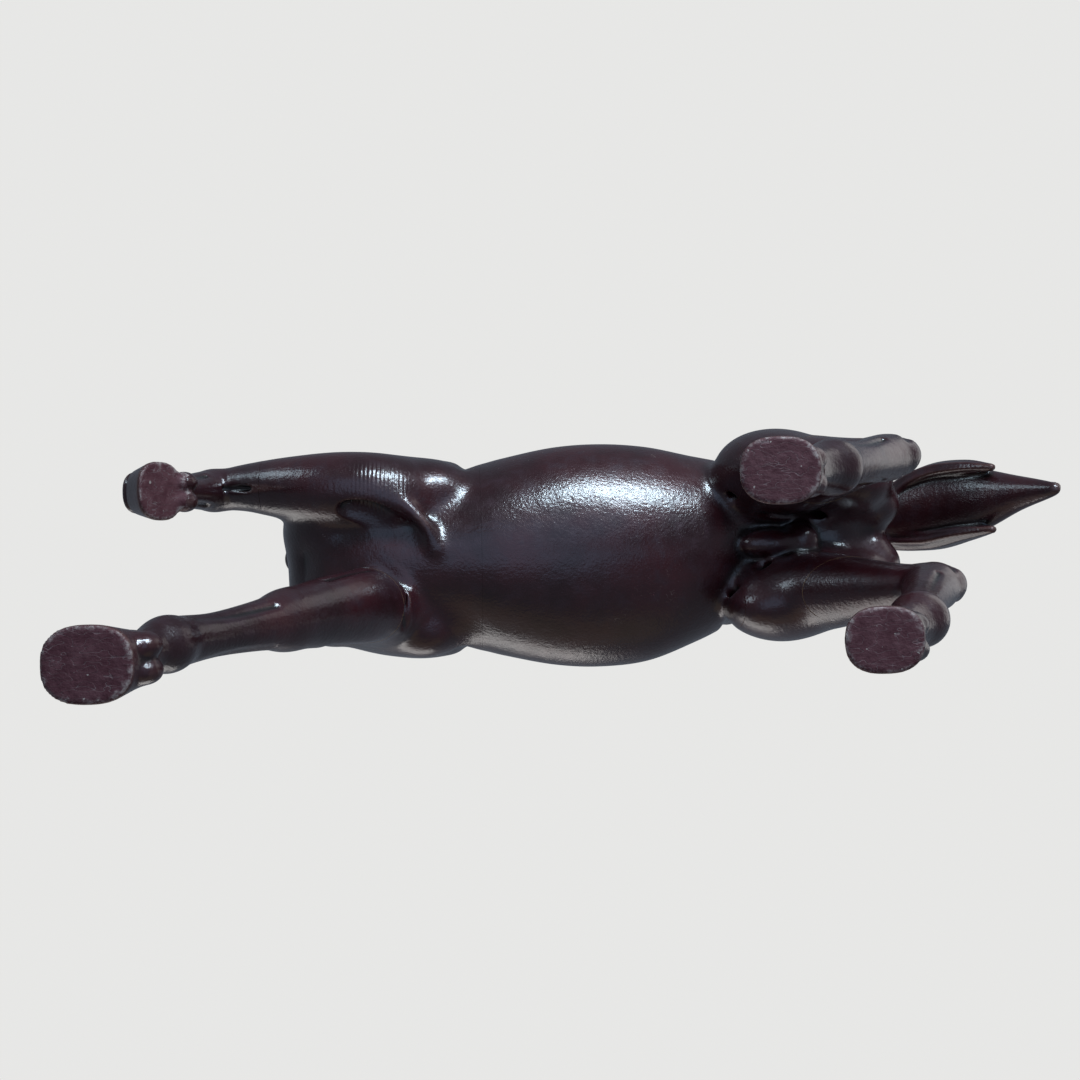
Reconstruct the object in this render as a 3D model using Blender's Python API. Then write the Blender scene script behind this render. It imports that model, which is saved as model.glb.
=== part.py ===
"""Bronze horse statuette, cast in sections and pinned together.

The horse stands on three hooves and lifts its left forefoot. +X is forward, +Y is the horse's left, +Z is up,
and the origin is at the bottom centre of its box. The outer skin is sculpted once, as a field of signed distances
that swept limbs, lofted trunk and muscle ellipsoids are blended into, and is then sawn into the castings.
All sculpting numbers are in millimetres, in a frame whose X = 0 is mid-barrel; the meshes are in metres.
"""

import math

import bmesh
import bpy
import numpy as np
from mathutils import Euler, Vector

# ---- driving dimensions, in millimetres ----
VOXEL = 1.5
FAR = 60.0
SKIN_TRIANGLES = 7400
GAP = 0.3
WALL = 3.6

FORE_JOINT_X = 30.4
REAR_JOINT_X = -31.5
LEG_JOINT_Z = 78.0
RAISED_JOINT_X = 82.0
TAIL_JOINT = [(-78.5, 175), (-78.5, 130), (-84.0, 123), (-84.0, 80)]
WITHERS_Z = 157.0
NECK_JOINT = [(FORE_JOINT_X, WITHERS_Z), (FORE_JOINT_X, 155.0), (84.0, 112.0)]
HEAD_JOINT = [(57.0, 230), (57.5, 176), (64.0, 152), (71.0, 137)]
SOLE_SPARE = 3.0

CORE_STATIONS = (-62.0, -52.0, -12.0, 6.0, 50.0, 64.0)
CORE_SIDES = 24
NECK_BORE = [(55, 0, 128, 10.0), (48, 0, 174, 4.5)]
SLEEVE_LENGTH = 12.0
SLEEVE_WALL = 1.6
SLEEVES = {"front_sleeve": FORE_JOINT_X, "rear_sleeve": REAR_JOINT_X}

# Dowels and pins: both ends and the radius.
DOWELS = {
    "right_fore_dowel": ((58.8, -11.3, 70), (55.8, -11.6, 85), 2.0),
    "left_fore_dowel": ((74, 17.3, 95.4), (90, 17.6, 100.0), 2.0),
    "right_hind_dowel": ((-57.5, -9.0, 70), (-51.5, -9.4, 86), 2.0),
    "left_hind_dowel": ((-50.5, 19.3, 70), (-46.0, 18.9, 86), 2.0),
    "tail_dowel": ((-86, 7.2, 142), (-71, 5.2, 139), 2.0),
    "head_dowel": ((50, 0, 191), (65, 0, 191), 2.0),
    "left_neck_pin": ((49, 16.6, 133), (55.5, 16.2, 141), 1.3),
    "right_neck_pin": ((49, -16.6, 133), (55.5, -16.2, 141), 1.3),
}

PATINA = (0.055, 0.022, 0.020)
BARE_BRONZE = (0.42, 0.25, 0.11)

MM = 0.001
REACH = 140.0
FLOOR = -20.0
ROOF = 250.0
RAISED_LEG_ROOF = 128.0
BETWEEN_HIND_LEGS_Y = 3.5

# Trunk sections: x, centre y, top z, bottom z, half width, z of the widest place.
TRUNK = [
    (72.4, 0.0, 131, 97, 12.0, 112),
    (66.5, 0.0, 141, 90, 17.5, 112),
    (57, 0.0, 149, 86, 21.0, 112),
    (46, 0.0, 154, 84, 22.0, 112),
    (36, 0.0, 155, 83, 22.0, 110),
    (25, 0.0, 151, 82, 24.6, 107),
    (12, 0.0, 147, 82.5, 27.2, 106),
    (0, 0.0, 145, 83.5, 28.0, 107),
    (-12, 0.2, 144.5, 86, 27.0, 108),
    (-25, 1.2, 146, 90, 23.6, 111),
    (-36, 2.6, 148.5, 96, 21.0, 116),
    (-48, 3.8, 149, 99, 20.5, 120),
    (-60, 4.4, 145.5, 100, 18.5, 121),
    (-69, 4.6, 140, 105, 13.0, 121),
]

# Neck sections: x, y, z of the middle, half width, half depth.
NECK = [
    (55, 0, 126, 18.5, 26.0),
    (53, 0, 142, 15.5, 23.0),
    (50, 0, 156, 12.6, 18.5),
    (47, 0, 168, 10.4, 14.2),
    (48, 0, 180, 9.0, 12.0),
    (54, 0, 191, 8.2, 10.6),
    (62, 0, 197, 7.4, 9.0),
]
CREST = [(66, 0, 206), (58, 0, 205.5), (49.5, 0, 201.5), (42, 0, 194.5), (36.5, 0, 185), (34, 0, 174), (34.5, 0, 164)]

# Hooves: centre of the sole, length, width, flex in degrees, metal left under the sole until it is cut flat.
HOOF_HEIGHT = 9.5
HOOF_LEAN = 0.42
HOOF_TAPER = 0.30
HOOF_SQUARENESS = 2.5
HOOF_RIM = 0.8
HOOVES = {
    "right_fore": ((93.5, -14.0, 0), 14.6, 12.8, 0, SOLE_SPARE),
    "left_fore": ((96.4, 15.5, 59.0), 13.8, 12.4, 65, 0),
    "left_hind": ((-16.2, 14.7, 0), 13.8, 11.4, 0, SOLE_SPARE),
    "right_hind": ((-33, -13.1, 0), 13.8, 11.4, 0, SOLE_SPARE),
}


# ---- curves and signed distances ----
def curve_through(stations, pieces):
    """Rows along a Catmull-Rom curve through the given rows, with so many pieces between two of them."""
    rows = np.array(stations, float)
    rows = np.vstack([2 * rows[0] - rows[1], rows, 2 * rows[-1] - rows[-2]])
    steps = np.arange(pieces)[:, None] / pieces
    out = []
    for before, start, end, after in zip(rows[:-3], rows[1:-2], rows[2:-1], rows[3:]):
        bend = 2 * before - 5 * start + 4 * end - after
        twist = 3 * start - before - 3 * end + after
        out.append(start + 0.5 * ((end - before) * steps + bend * steps**2 + twist * steps**3))
    out.append(rows[-2][None])
    return np.vstack(out)


def smooth_min(first, second, blend):
    """The lower of two distances, rounded over where they are nearly equal."""
    if blend <= 0:
        return np.minimum(first, second)
    share = np.clip(0.5 + 0.5 * (second - first) / blend, 0, 1)
    return second + (first - second) * share - blend * share * (1 - share)


def tapered_piece(start, end, side):
    """One short stretch of a sweep, between two rows of x, y, z, half width along side, half depth across it."""
    origin = start[:3]
    axis = end[:3] - origin
    length = np.linalg.norm(axis)
    axis = axis / length
    across = side - axis * side.dot(axis)
    across = across / np.linalg.norm(across)
    depthwise = np.cross(axis, across)
    reach = max(start[3], start[4], end[3], end[4])

    def distance(x, y, z):
        x, y, z = x - origin[0], y - origin[1], z - origin[2]
        along = x * axis[0] + y * axis[1] + z * axis[2]
        share = np.clip(along / length, 0, 1)
        over = along - share * length
        wide = x * across[0] + y * across[1] + z * across[2]
        deep = x * depthwise[0] + y * depthwise[1] + z * depthwise[2]
        half_width = start[3] + share * (end[3] - start[3])
        half_depth = start[4] + share * (end[4] - start[4])
        least = np.minimum(half_width, half_depth)
        ratio = np.sqrt((wide / half_width) ** 2 + (deep / half_depth) ** 2 + (over**2 + 1e-4) / least**2)
        radius = np.sqrt(wide**2 + deep**2 + over**2 + 1e-4)
        return (ratio - 1) * radius / ratio

    low = np.minimum(origin, end[:3]) - reach
    high = np.maximum(origin, end[:3]) + reach
    return low, high, distance


def sweep(stations, side=(0, 1, 0), pieces=4):
    """A tapering limb through rows of x, y, z, half width along side, half depth across it."""
    rows = curve_through(stations, pieces)
    return [tapered_piece(start, end, np.array(side, float)) for start, end in zip(rows[:-1], rows[1:])]


def ellipsoid(centre, radii, turn=(0, 0, 0)):
    """A muscle: an ellipsoid turned by so many degrees about X, Y and Z."""
    centre = np.array(centre, float)
    radii = np.array(radii, float)
    axes = np.array(Euler([math.radians(angle) for angle in turn]).to_matrix())
    reach = np.sqrt(((axes * radii) ** 2).sum(axis=1))

    def distance(x, y, z):
        x, y, z = x - centre[0], y - centre[1], z - centre[2]
        local = [x * axes[0, i] + y * axes[1, i] + z * axes[2, i] for i in range(3)]
        ratio = np.sqrt(sum((value / radius) ** 2 for value, radius in zip(local, radii)) + 1e-6)
        slope = np.sqrt(sum((value / radius**2) ** 2 for value, radius in zip(local, radii)) + 1e-6 / radii.min() ** 2)
        return ratio * (ratio - 1) / slope

    return [(centre - reach, centre + reach, distance)]


def trunk_section(x, inset=0.0):
    """Centre y, top z, bottom z, half width and widest z of the trunk at x, drawn in by inset."""
    rows = curve_through(TRUNK, 6)[::-1]
    values = [np.interp(x, rows[:, 0], rows[:, i]) for i in range(1, 6)]
    return values[0], values[1] - inset, values[2] + inset, values[3] - inset, values[4]


def trunk():
    """The lofted barrel, chest and croup."""
    rows = curve_through(TRUNK, 6)
    front, rear = rows[0, 0], rows[-1, 0]
    end_radius = 6.0

    def distance(x, y, z):
        centre, top, bottom, half_width, widest = trunk_section(x)
        over = np.maximum(0, np.maximum(x - front, rear - x))
        wide = y - centre
        high = z - widest
        half_height = np.where(high > 0, top - widest, widest - bottom)
        ratio = np.sqrt((wide / half_width) ** 2 + (high / half_height) ** 2 + (over / end_radius) ** 2 + 1e-6)
        radius = np.sqrt(wide**2 + high**2 + over**2 + 1e-6)
        return (ratio - 1) * radius / ratio

    low = np.array([rear - end_radius, rows[:, 1].min() - rows[:, 4].max(), rows[:, 3].min()])
    high = np.array([front + end_radius, rows[:, 1].max() + rows[:, 4].max(), rows[:, 2].max()])
    return [(low, high, distance)]


def hoof(centre, length, width, flex, spare):
    """A hoof that leans forward to its toe, turned down by flex degrees about its sole centre."""
    centre = np.array(centre, float)
    cosine, sine = math.cos(math.radians(flex)), math.sin(math.radians(flex))
    reach = np.array([length, length, length])

    def distance(x, y, z):
        x, y, z = x - centre[0], y - centre[1], z - centre[2]
        forward = x * cosine - z * sine
        up = x * sine + z * cosine
        scale = 1 - HOOF_TAPER * np.clip(up / HOOF_HEIGHT, 0, 1)
        forward = forward + HOOF_LEAN * np.clip(up, 0, HOOF_HEIGHT)
        long_share = abs(forward / (0.5 * length * scale))
        wide_share = abs(y / (0.5 * width * scale))
        ratio = (long_share**HOOF_SQUARENESS + wide_share**HOOF_SQUARENESS + 1e-5) ** (1 / HOOF_SQUARENESS)
        radius = np.sqrt(forward**2 + y**2 + 1e-2)
        side = (ratio - 1) * radius / ratio
        return -smooth_min(-side, -np.maximum(-up - spare, up - HOOF_HEIGHT), HOOF_RIM)

    return [(centre - reach, centre + reach, distance)]


class Sculpt:
    """Signed distances on a grid of voxels, negative inside the metal."""

    def __init__(self, low, high, step):
        self.step = step
        self.low = np.array(low, float)
        self.count = np.ceil((np.array(high, float) - self.low) / step).astype(int) + 1
        self.value = np.full(self.count, FAR, np.float32)

    def window(self, low, high):
        """The slices of the samples in a box, clipped to the grid."""
        first = np.maximum(np.floor((low - self.low) / self.step).astype(int), 0)
        last = np.minimum(np.ceil((high - self.low) / self.step).astype(int) + 1, self.count)
        return first, np.maximum(last, first)

    def measure(self, shape, margin):
        """The distance to a shape near it, and the slices that it covers."""
        first, last = self.window(
            np.min([piece[0] for piece in shape], axis=0) - margin,
            np.max([piece[1] for piece in shape], axis=0) + margin,
        )
        found = np.full(last - first, FAR, np.float32)
        for low, high, distance in shape:
            start, stop = self.window(low - margin, high + margin)
            axes = [self.low[i] + self.step * np.arange(start[i], stop[i]) for i in range(3)]
            inner = tuple(slice(a - c, b - c) for a, b, c in zip(start, stop, first))
            found[inner] = np.minimum(found[inner], distance(*np.meshgrid(*axes, indexing="ij", sparse=True)))
        return tuple(slice(a, b) for a, b in zip(first, last)), found

    def join(self, shape, blend):
        slices, found = self.measure(shape, blend + 2 * self.step)
        self.value[slices] = smooth_min(self.value[slices], found, blend)

    def carve(self, shape, blend):
        slices, found = self.measure(shape, blend + 2 * self.step)
        self.value[slices] = -smooth_min(-self.value[slices], found, blend)

    def settle(self):
        """Turns over the faintest corner of each voxel face whose corners alternate, where a net would pinch."""
        faint = 0.01
        for axis in (0, 1, 2) * 3:
            view = np.moveaxis(self.value, axis, 0)
            inside = view < 0
            first, second = inside[:, :-1, :-1], inside[:, 1:, :-1]
            mixed = (first == inside[:, 1:, 1:]) & (second == inside[:, :-1, 1:]) & (first != second)
            for i, j, k in np.argwhere(mixed):
                corners = [(i, j, k), (i, j + 1, k), (i, j + 1, k + 1), (i, j, k + 1)]
                weakest = min(corners, key=lambda corner: abs(view[corner]))
                view[weakest] = faint if view[weakest] < 0 else -faint

    def surface(self):
        """Points and quads of the zero surface, by surface nets: one point for each voxel that it passes through."""
        self.settle()
        inside = self.value < 0
        cells = self.count - 1
        filled = np.zeros(cells, np.int8)
        for offset in np.ndindex(2, 2, 2):
            filled += inside[tuple(slice(o, o + n) for o, n in zip(offset, cells))]
        cell = np.argwhere((filled > 0) & (filled < 8))
        total = np.zeros((len(cell), 3))
        hits = np.zeros(len(cell))
        for axis in range(3):
            for offset in np.ndindex(2, 2):
                near = np.insert(offset, axis, 0)
                far = np.insert(offset, axis, 1)
                a = self.value[tuple((cell + near).T)].astype(float)
                b = self.value[tuple((cell + far).T)].astype(float)
                crosses = (a < 0) != (b < 0)
                share = np.where(crosses, a / np.where(crosses, a - b, 1), 0)
                point = near + share[:, None] * (far - near)
                total += np.where(crosses[:, None], point, 0)
                hits += crosses
        points = self.low + self.step * (cell + total / hits[:, None])
        index = np.full(cells, -1, np.int32)
        index[tuple(cell.T)] = np.arange(len(cell))
        quads = []
        for axis in range(3):
            u, v = (axis + 1) % 3, (axis + 2) % 3
            near = [slice(1, n) for n in cells]
            far = list(near)
            near[axis] = slice(0, cells[axis])
            far[axis] = slice(1, cells[axis] + 1)
            change = inside[tuple(near)].astype(np.int8) - inside[tuple(far)]
            for sign in (1, -1):
                edge = np.argwhere(change == sign)
                edge[:, u] += 1
                edge[:, v] += 1
                ring = []
                for du, dv in ((1, 1), (0, 1), (0, 0), (1, 0))[::sign]:
                    corner = edge.copy()
                    corner[:, u] -= du
                    corner[:, v] -= dv
                    ring.append(index[tuple(corner.T)])
                quads.append(np.stack(ring, axis=1))
        return points, np.vstack(quads)


# ---- the horse's anatomy ----
def left_and_right(sculpt, blend, centre, radii, turn=(0, 0, 0), middle=0.0):
    """The same muscle on both sides of the middle."""
    x, y, z = centre
    roll, pitch, yaw = turn
    sculpt.join(ellipsoid((x, middle + y, z), radii, (roll, pitch, yaw)), blend)
    sculpt.join(ellipsoid((x, middle - y, z), radii, (-roll, pitch, -yaw)), blend)


def sculpt_body(sculpt):
    """The trunk with the muscles of chest, shoulders, loins and haunches."""
    sculpt.join(trunk(), 0)
    left_and_right(sculpt, 7, (49, 13.5, 126), (13, 9.5, 28), (0, 28, 0))
    left_and_right(sculpt, 6, (67, 12.5, 107), (10, 9, 12))
    left_and_right(sculpt, 6, (46, 15.5, 103), (15, 8.5, 15), (0, -20, 0))
    sculpt.join(ellipsoid((69.0, 7.0, 103), (8.6, 7.5, 13), (0, 12, 0)), 5)
    sculpt.join(ellipsoid((66.5, -6.5, 103), (7.6, 7.5, 13), (0, 12, 0)), 5)
    rump = 4.2
    left_and_right(sculpt, 7, (-49, 10.5, 135), (23, 11.0, 15.5), (0, -14, 0), 3.6)
    left_and_right(sculpt, 8, (-34, 12.4, 139.5), (7.5, 5.0, 7.5), (0, 25, 0), 2.4)
    left_and_right(sculpt, 6, (-58, 13.0, 115), (15, 11.0, 27), (0, 14, 0), rump)
    left_and_right(sculpt, 4, (-42.5, 17.0, 99), (12.5, 8.5, 18), (0, -28, 0), rump)
    left_and_right(sculpt, 5, (-69.5, 7.4, 117), (8.5, 7.4, 17), (0, 8, 0), rump)


def sculpt_fetlock(sculpt, fetlock):
    """The ball of a fetlock."""
    sculpt.join(ellipsoid(np.array(fetlock) + (-0.8, 0, -0.6), (4.3, 4.4, 4.2)), 2.2)


def sculpt_planted_foreleg(sculpt):
    """The right foreleg, reaching forward to its planted hoof."""
    leg = [
        (55, -12.8, 106, 9.5, 12.0),
        (53, -12.0, 94, 9.4, 10.4),
        (54.5, -10.4, 83, 8.3, 7.8),
        (58, -10.0, 73, 8.5, 7.2),
        (62.5, -10.1, 63, 7.8, 6.5),
        (66.5, -10.4, 55, 6.9, 6.0),
        (70, -10.8, 48, 6.2, 5.5),
        (73.5, -11.2, 41, 5.1, 4.7),
        (80, -12.0, 30, 4.2, 4.3),
        (84.5, -12.4, 22.0, 4.6, 4.7),
        (86.0, -12.6, 18.0, 4.7, 4.9),
        (88.0, -13.1, 12.0, 3.5, 4.0),
        (89.8, -13.5, 8.0, 4.0, 4.5),
    ]
    sculpt.join(sweep(leg), 3)
    sculpt_fetlock(sculpt, (86.2, -12.6, 18.5))
    sculpt.join(ellipsoid((70.6, -11.0, 49.0), (4.4, 5.0, 6.4), (0, -28, 0)), 3.0)


def sculpt_raised_foreleg(sculpt):
    """The left foreleg, its forearm level and its cannon hanging from the bent knee."""
    leg = [
        (50, 14.0, 104, 9.5, 13.0),
        (53, 15.8, 94, 9.4, 12.0),
        (63, 16.8, 93, 9.0, 11.0),
        (75, 17.4, 95.5, 7.6, 8.8),
        (85, 17.9, 99.0, 5.9, 6.6),
        (92, 17.6, 101, 5.0, 5.4),
        (95.6, 17.2, 96, 4.7, 4.9),
        (97.4, 16.7, 87, 4.0, 4.2),
        (98.8, 16.3, 79.5, 4.1, 4.3),
        (100.2, 16.0, 74.5, 4.6, 4.9),
        (101.0, 15.7, 69.5, 3.8, 4.1),
        (101.4, 15.6, 66.0, 4.1, 4.4),
    ]
    sculpt.join(sweep(leg), 4)
    sculpt_fetlock(sculpt, (99.6, 16.1, 74.5))
    sculpt.join(ellipsoid((94.2, 17.3, 99.5), (4.8, 4.7, 4.6), (0, 30, 0)), 2.0)


def sculpt_elbows_and_sheath(sculpt):
    """The points of the elbows, and the sheath between the hind legs."""
    sculpt.join(ellipsoid((44.5, -17.0, 95.5), (7.4, 6.2, 8.0), (0, 15, 0)), 2.0)
    sculpt.join(ellipsoid((41.5, 17.0, 97), (7.5, 6.0, 8.5), (0, 15, 0)), 3.0)
    sculpt.join(ellipsoid((-41, 2.2, 95.5), (8.5, 3.6, 4.6), (0, 12, 0)), 2.0)
    sculpt.join(ellipsoid((-48.5, 3.2, 98), (4.6, 4.4, 5.0)), 1.5)


def hind_leg(hip, hock, fetlock, hoof_centre):
    """Rows of a hind leg from the stifle down, through its hock and fetlock."""
    hip, hock, fetlock, hoof_centre = (np.array(p, float) for p in (hip, hock, fetlock, hoof_centre))
    coronet = hoof_centre + (-4.5, 0, 8)
    knee_to_hock = hock - hip
    shin = fetlock - hock
    ankle = coronet - fetlock
    return [
        (*hip, 10.5, 15.0),
        (*(hip + 0.3 * knee_to_hock), 9.0, 12.0),
        (*(hip + 0.62 * knee_to_hock), 6.6, 8.4),
        (*(hip + 0.85 * knee_to_hock), 5.2, 6.6),
        (*hock, 5.2, 6.4),
        (*(hock + 0.2 * shin), 4.8, 5.6),
        (*(hock + 0.5 * shin), 4.3, 4.5),
        (*(hock + 0.85 * shin), 4.7, 4.8),
        (*fetlock, 5.0, 5.3),
        (*(fetlock + 0.55 * ankle), 3.9, 4.2),
        (*coronet, 4.3, 4.8),
    ]


def sculpt_hind_legs(sculpt):
    """Both hind legs, set well under the body, with their pointed hocks."""
    left = hind_leg((-42, 18.5, 98), (-54.6, 20.2, 56), (-31, 16.2, 20), HOOVES["left_hind"][0])
    right = hind_leg((-47, -10.0, 98), (-64.2, -7.2, 56), (-46.4, -11.4, 20), HOOVES["right_hind"][0])
    for leg, point in ((left, (-58.4, 21.2, 61)), (right, (-67.4, -6.0, 61))):
        sculpt.join(sweep(leg), 5)
        hock = np.array(leg[4][:3])
        calf = 0.45 * hock + 0.55 * np.array(leg[0][:3]) + (-6.5, 0, -1)
        tendon = [(*calf, 3.2, 3.4), (*(0.35 * calf + 0.65 * np.array(point)), 2.2, 2.4), (*point, 2.7, 2.9)]
        sculpt.join(sweep(tendon), 3.5)
        heel = [(*point, 2.7, 2.9), (*(0.5 * hock + 0.5 * np.array(point) + (-1.5, 0, -4)), 3.0, 3.4)]
        sculpt.join(sweep(heel), 3.0)
        sculpt_fetlock(sculpt, leg[8][:3])


def sculpt_hooves(sculpt):
    for row in HOOVES.values():
        sculpt.join(hoof(*row), 1.2)


def sculpt_neck_and_head(sculpt):
    """The arched neck and the tucked, nearly upright head."""
    sculpt.join(sweep(NECK), 6)
    head = [
        (66, 0, 198, 6.8, 7.2),
        (70, 0, 190.5, 8.6, 10.2),
        (71.5, 0, 182, 8.0, 11.2),
        (73, 0, 172.5, 6.2, 9.0),
        (75, 0, 162, 5.2, 7.2),
        (76.5, 0, 152, 4.9, 6.3),
        (77.3, 0, 146.5, 4.8, 5.9),
    ]
    sculpt.join(sweep(head), 3)
    left_and_right(sculpt, 3, (66.0, 4.8, 182.5), (8.4, 4.2, 9.8), (0, 20, 0))
    left_and_right(sculpt, 2, (77.5, 6.0, 188.0), (3.6, 2.6, 3.2), (0, -30, 0))
    left_and_right(sculpt, 2, (80.3, 3.2, 149.0), (2.8, 2.4, 3.6), (0, -12, 0))
    sculpt.join(ellipsoid((74.8, 0, 142.4), (4.8, 4.2, 3.2), (0, 8, 0)), 1.6)
    sculpt.join(ellipsoid((80.8, 0, 143.4), (3.4, 4.1, 3.2)), 1.6)
    for side in (1, -1):
        ear = [
            (62, side * 4.6, 203, 2.4, 2.6),
            (62.5, side * 5.4, 209, 2.6, 2.9),
            (64.0, side * 5.8, 215, 1.7, 1.8),
            (65.3, side * 5.6, 219.5, 0.9, 0.9),
        ]
        sculpt.join(sweep(ear), 1.5)


def neck_side(x, z):
    """How far the neck's skin stands out from the middle, to the side of x and z."""
    rows = np.array(NECK)
    middle, half_width, half_depth = (np.interp(z, rows[:, 2], rows[:, i]) for i in (0, 3, 4))
    off = min(abs(x - middle) / half_depth, 0.97)
    return half_width * math.sqrt(1 - off**2)


def sculpt_mane(sculpt):
    """Thick locks from the crest that lie back over the right side of the neck, and a forelock."""
    sculpt.join(sweep([(*place, 3.0, 3.2) for place in CREST]), 3)
    roots = curve_through(CREST, 3)[2:-1:2]
    for number, (x, _, z) in enumerate(roots):
        share = number / (len(roots) - 1)
        length = 34 - 20 * share + 3 * math.sin(2.3 * number)
        swing = 1.5 * math.sin(1.7 * number + 1.0)
        lift = 1.3 + 0.4 * math.sin(2.9 * number)
        lock = [(x, 0.5, z + 0.5, 2.8, 4.4)]
        shape = ((0.15, 0.6, 2.4, 5.0), (0.42, 2.0, 2.3, 4.8), (0.74, 0.5 + swing, 1.9, 3.6), (1.0, swing - 3.5, 1.2, 1.3))
        for fall, drift, thick, broad in shape:
            place = x + drift, z - fall * length
            lock.append((place[0], -neck_side(*place) - lift, place[1], thick, broad))
        sculpt.join(sweep(lock, side=(0.2, 1, 0.4)), 1.2)
    for y, drop in ((-1.8, 16), (1.6, 13)):
        lock = [
            (65, 0.4 * y, 206.5, 2.4, 2.6),
            (71.5, 0.8 * y, 204.0, 2.2, 3.0),
            (77.0, y, 197, 1.8, 2.6),
            (79.6, 1.3 * y, 206.5 - drop, 1.0, 1.1),
        ]
        sculpt.join(sweep(lock, side=(1, 0, 0.6)), 1.2)


def sculpt_tail(sculpt):
    """The tail, lifted and carried to the left, in one broad mass with pointed locks."""
    mass = [
        (-66, 4.5, 136, 5.0, 6.0),
        (-78, 5.2, 142, 4.6, 5.4),
        (-88, 8.0, 142, 7.4, 6.4),
        (-97, 11.0, 134, 10.8, 7.0),
        (-104, 12.8, 122, 9.2, 6.0),
        (-110.5, 14.2, 111, 5.0, 4.2),
        (-116, 14.8, 100, 2.0, 1.9),
    ]
    sculpt.join(sweep(mass), 3)
    for side in (1, -1):
        lock = [
            (-80, 5.6 + 1.5 * side, 143, 3.0, 4.0),
            (-90, 9.0 + 6.3 * side, 141, 3.4, 5.2),
            (-97, 11.4 + 9.0 * side, 132, 3.0, 5.6),
            (-101.5, 12.8 + 8.8 * side, 121, 2.2, 4.0),
            (-104.5, 13.0 + 8.2 * side, 112, 1.0, 1.3),
        ]
        sculpt.join(sweep(lock), 1.4)
    back = [
        (-82, 6.0, 146, 3.6, 2.6),
        (-94, 10.0, 142, 5.4, 3.2),
        (-106, 13.4, 129, 5.0, 3.0),
        (-113.5, 15.0, 116, 3.2, 2.4),
        (-117.5, 15.2, 104, 1.5, 1.5),
    ]
    sculpt.join(sweep(back), 1.0)


def sculpt_horse(step):
    """The whole outer skin."""
    sculpt = Sculpt((-126, -38, -4), (110, 44, 226), step)
    sculpt_body(sculpt)
    sculpt_planted_foreleg(sculpt)
    sculpt_raised_foreleg(sculpt)
    sculpt_hind_legs(sculpt)
    sculpt_hooves(sculpt)
    sculpt_elbows_and_sheath(sculpt)
    sculpt_neck_and_head(sculpt)
    sculpt_mane(sculpt)
    sculpt_tail(sculpt)
    return sculpt


# ---- assembly ----
def clear_scene():
    for obj in list(bpy.data.objects):
        bpy.data.objects.remove(obj)


def metal(name, colour, roughness, metallic):
    """A Principled material of one colour."""
    material = bpy.data.materials.new(name)
    material.use_nodes = True
    shader = material.node_tree.nodes["Principled BSDF"]
    shader.inputs["Base Color"].default_value = (*colour, 1)
    shader.inputs["Roughness"].default_value = roughness
    shader.inputs["Metallic"].default_value = metallic
    return material


def mesh_of(name, points, faces):
    """A closed mesh in metres, facing out, from points in millimetres."""
    mesh = bpy.data.meshes.new(name)
    mesh.from_pydata((np.array(points) * MM).tolist(), [], [list(map(int, face)) for face in faces])
    work = bmesh.new()
    work.from_mesh(mesh)
    bmesh.ops.recalc_face_normals(work, faces=work.faces)
    work.to_mesh(mesh)
    work.free()
    return mesh


def new_object(name, mesh):
    obj = bpy.data.objects.new(name, mesh)
    bpy.context.collection.objects.link(obj)
    return obj


def helper(name, points, faces):
    """A cutter, seen as a wire and left out of the statuette."""
    obj = new_object(name, mesh_of(name, points, faces))
    obj.hide_render = True
    obj.display_type = "WIRE"
    return obj


def evaluated(obj):
    """A new mesh with the object's modifiers applied."""
    graph = bpy.context.evaluated_depsgraph_get()
    return bpy.data.meshes.new_from_object(obj.evaluated_get(graph))


def prism(name, outline, low_y=-REACH, high_y=REACH):
    """A solid of an outline in X and Z, between two values of Y."""
    count = len(outline)
    points = [(x, y, z) for y in (low_y, high_y) for x, z in outline]
    faces = [range(count), range(2 * count - 1, count - 1, -1)]
    faces += [(i, i + count, (i + 1) % count + count, (i + 1) % count) for i in range(count)]
    return helper(name, points, faces)


def slab(name, low, high):
    """A box-shaped cutter."""
    outline = [(low[0], low[2]), (low[0], high[2]), (high[0], high[2]), (high[0], low[2])]
    return prism(name, outline, low[1], high[1])


def shifted(outline, x, z):
    return [(point[0] + x, point[1] + z) for point in outline]


def ring_points(x, inset, sides):
    """Points round the trunk's section at x, drawn in by inset."""
    centre, top, bottom, half_width, widest = trunk_section(x, inset)
    angles = 2 * math.pi * np.arange(sides) / sides
    heights = np.where(np.sin(angles) > 0, top - widest, widest - bottom)
    return np.stack([np.full(sides, x), centre + half_width * np.cos(angles), widest + heights * np.sin(angles)], 1)


def skinned(rings, closed):
    """Points and faces of a skin through rings; closed joins the last ring to the first, and else both ends are capped."""
    sides = len(rings[0])
    count = len(rings)
    faces = []
    for i in range(count if closed else count - 1):
        for j in range(sides):
            here, ahead = i * sides, (i + 1) % count * sides
            side = (j + 1) % sides
            faces.append((here + j, here + side, ahead + side, ahead + j))
    if not closed:
        faces += [range(sides - 1, -1, -1), range((count - 1) * sides, count * sides)]
    return np.vstack(rings), faces


def casting_core():
    """The space that the casting core leaves in the trunk."""
    half = 0.5 * SLEEVE_LENGTH
    stations = sorted([*CORE_STATIONS, *[x + end for x in SLEEVES.values() for end in (-half, half)]])
    return helper("casting_core", *skinned([ring_points(x, WALL, CORE_SIDES) for x in stations], closed=False))


def sleeve_rings(x):
    """The four corner rings of a sleeve that lines the trunk's hollow at x."""
    ends = (x - 0.5 * SLEEVE_LENGTH, x + 0.5 * SLEEVE_LENGTH)
    outer, inner = WALL + GAP, WALL + GAP + SLEEVE_WALL
    corners = [(ends[0], outer), (ends[1], outer), (ends[1], inner), (ends[0], inner)]
    return [ring_points(end, inset, CORE_SIDES) for end, inset in corners]


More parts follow.
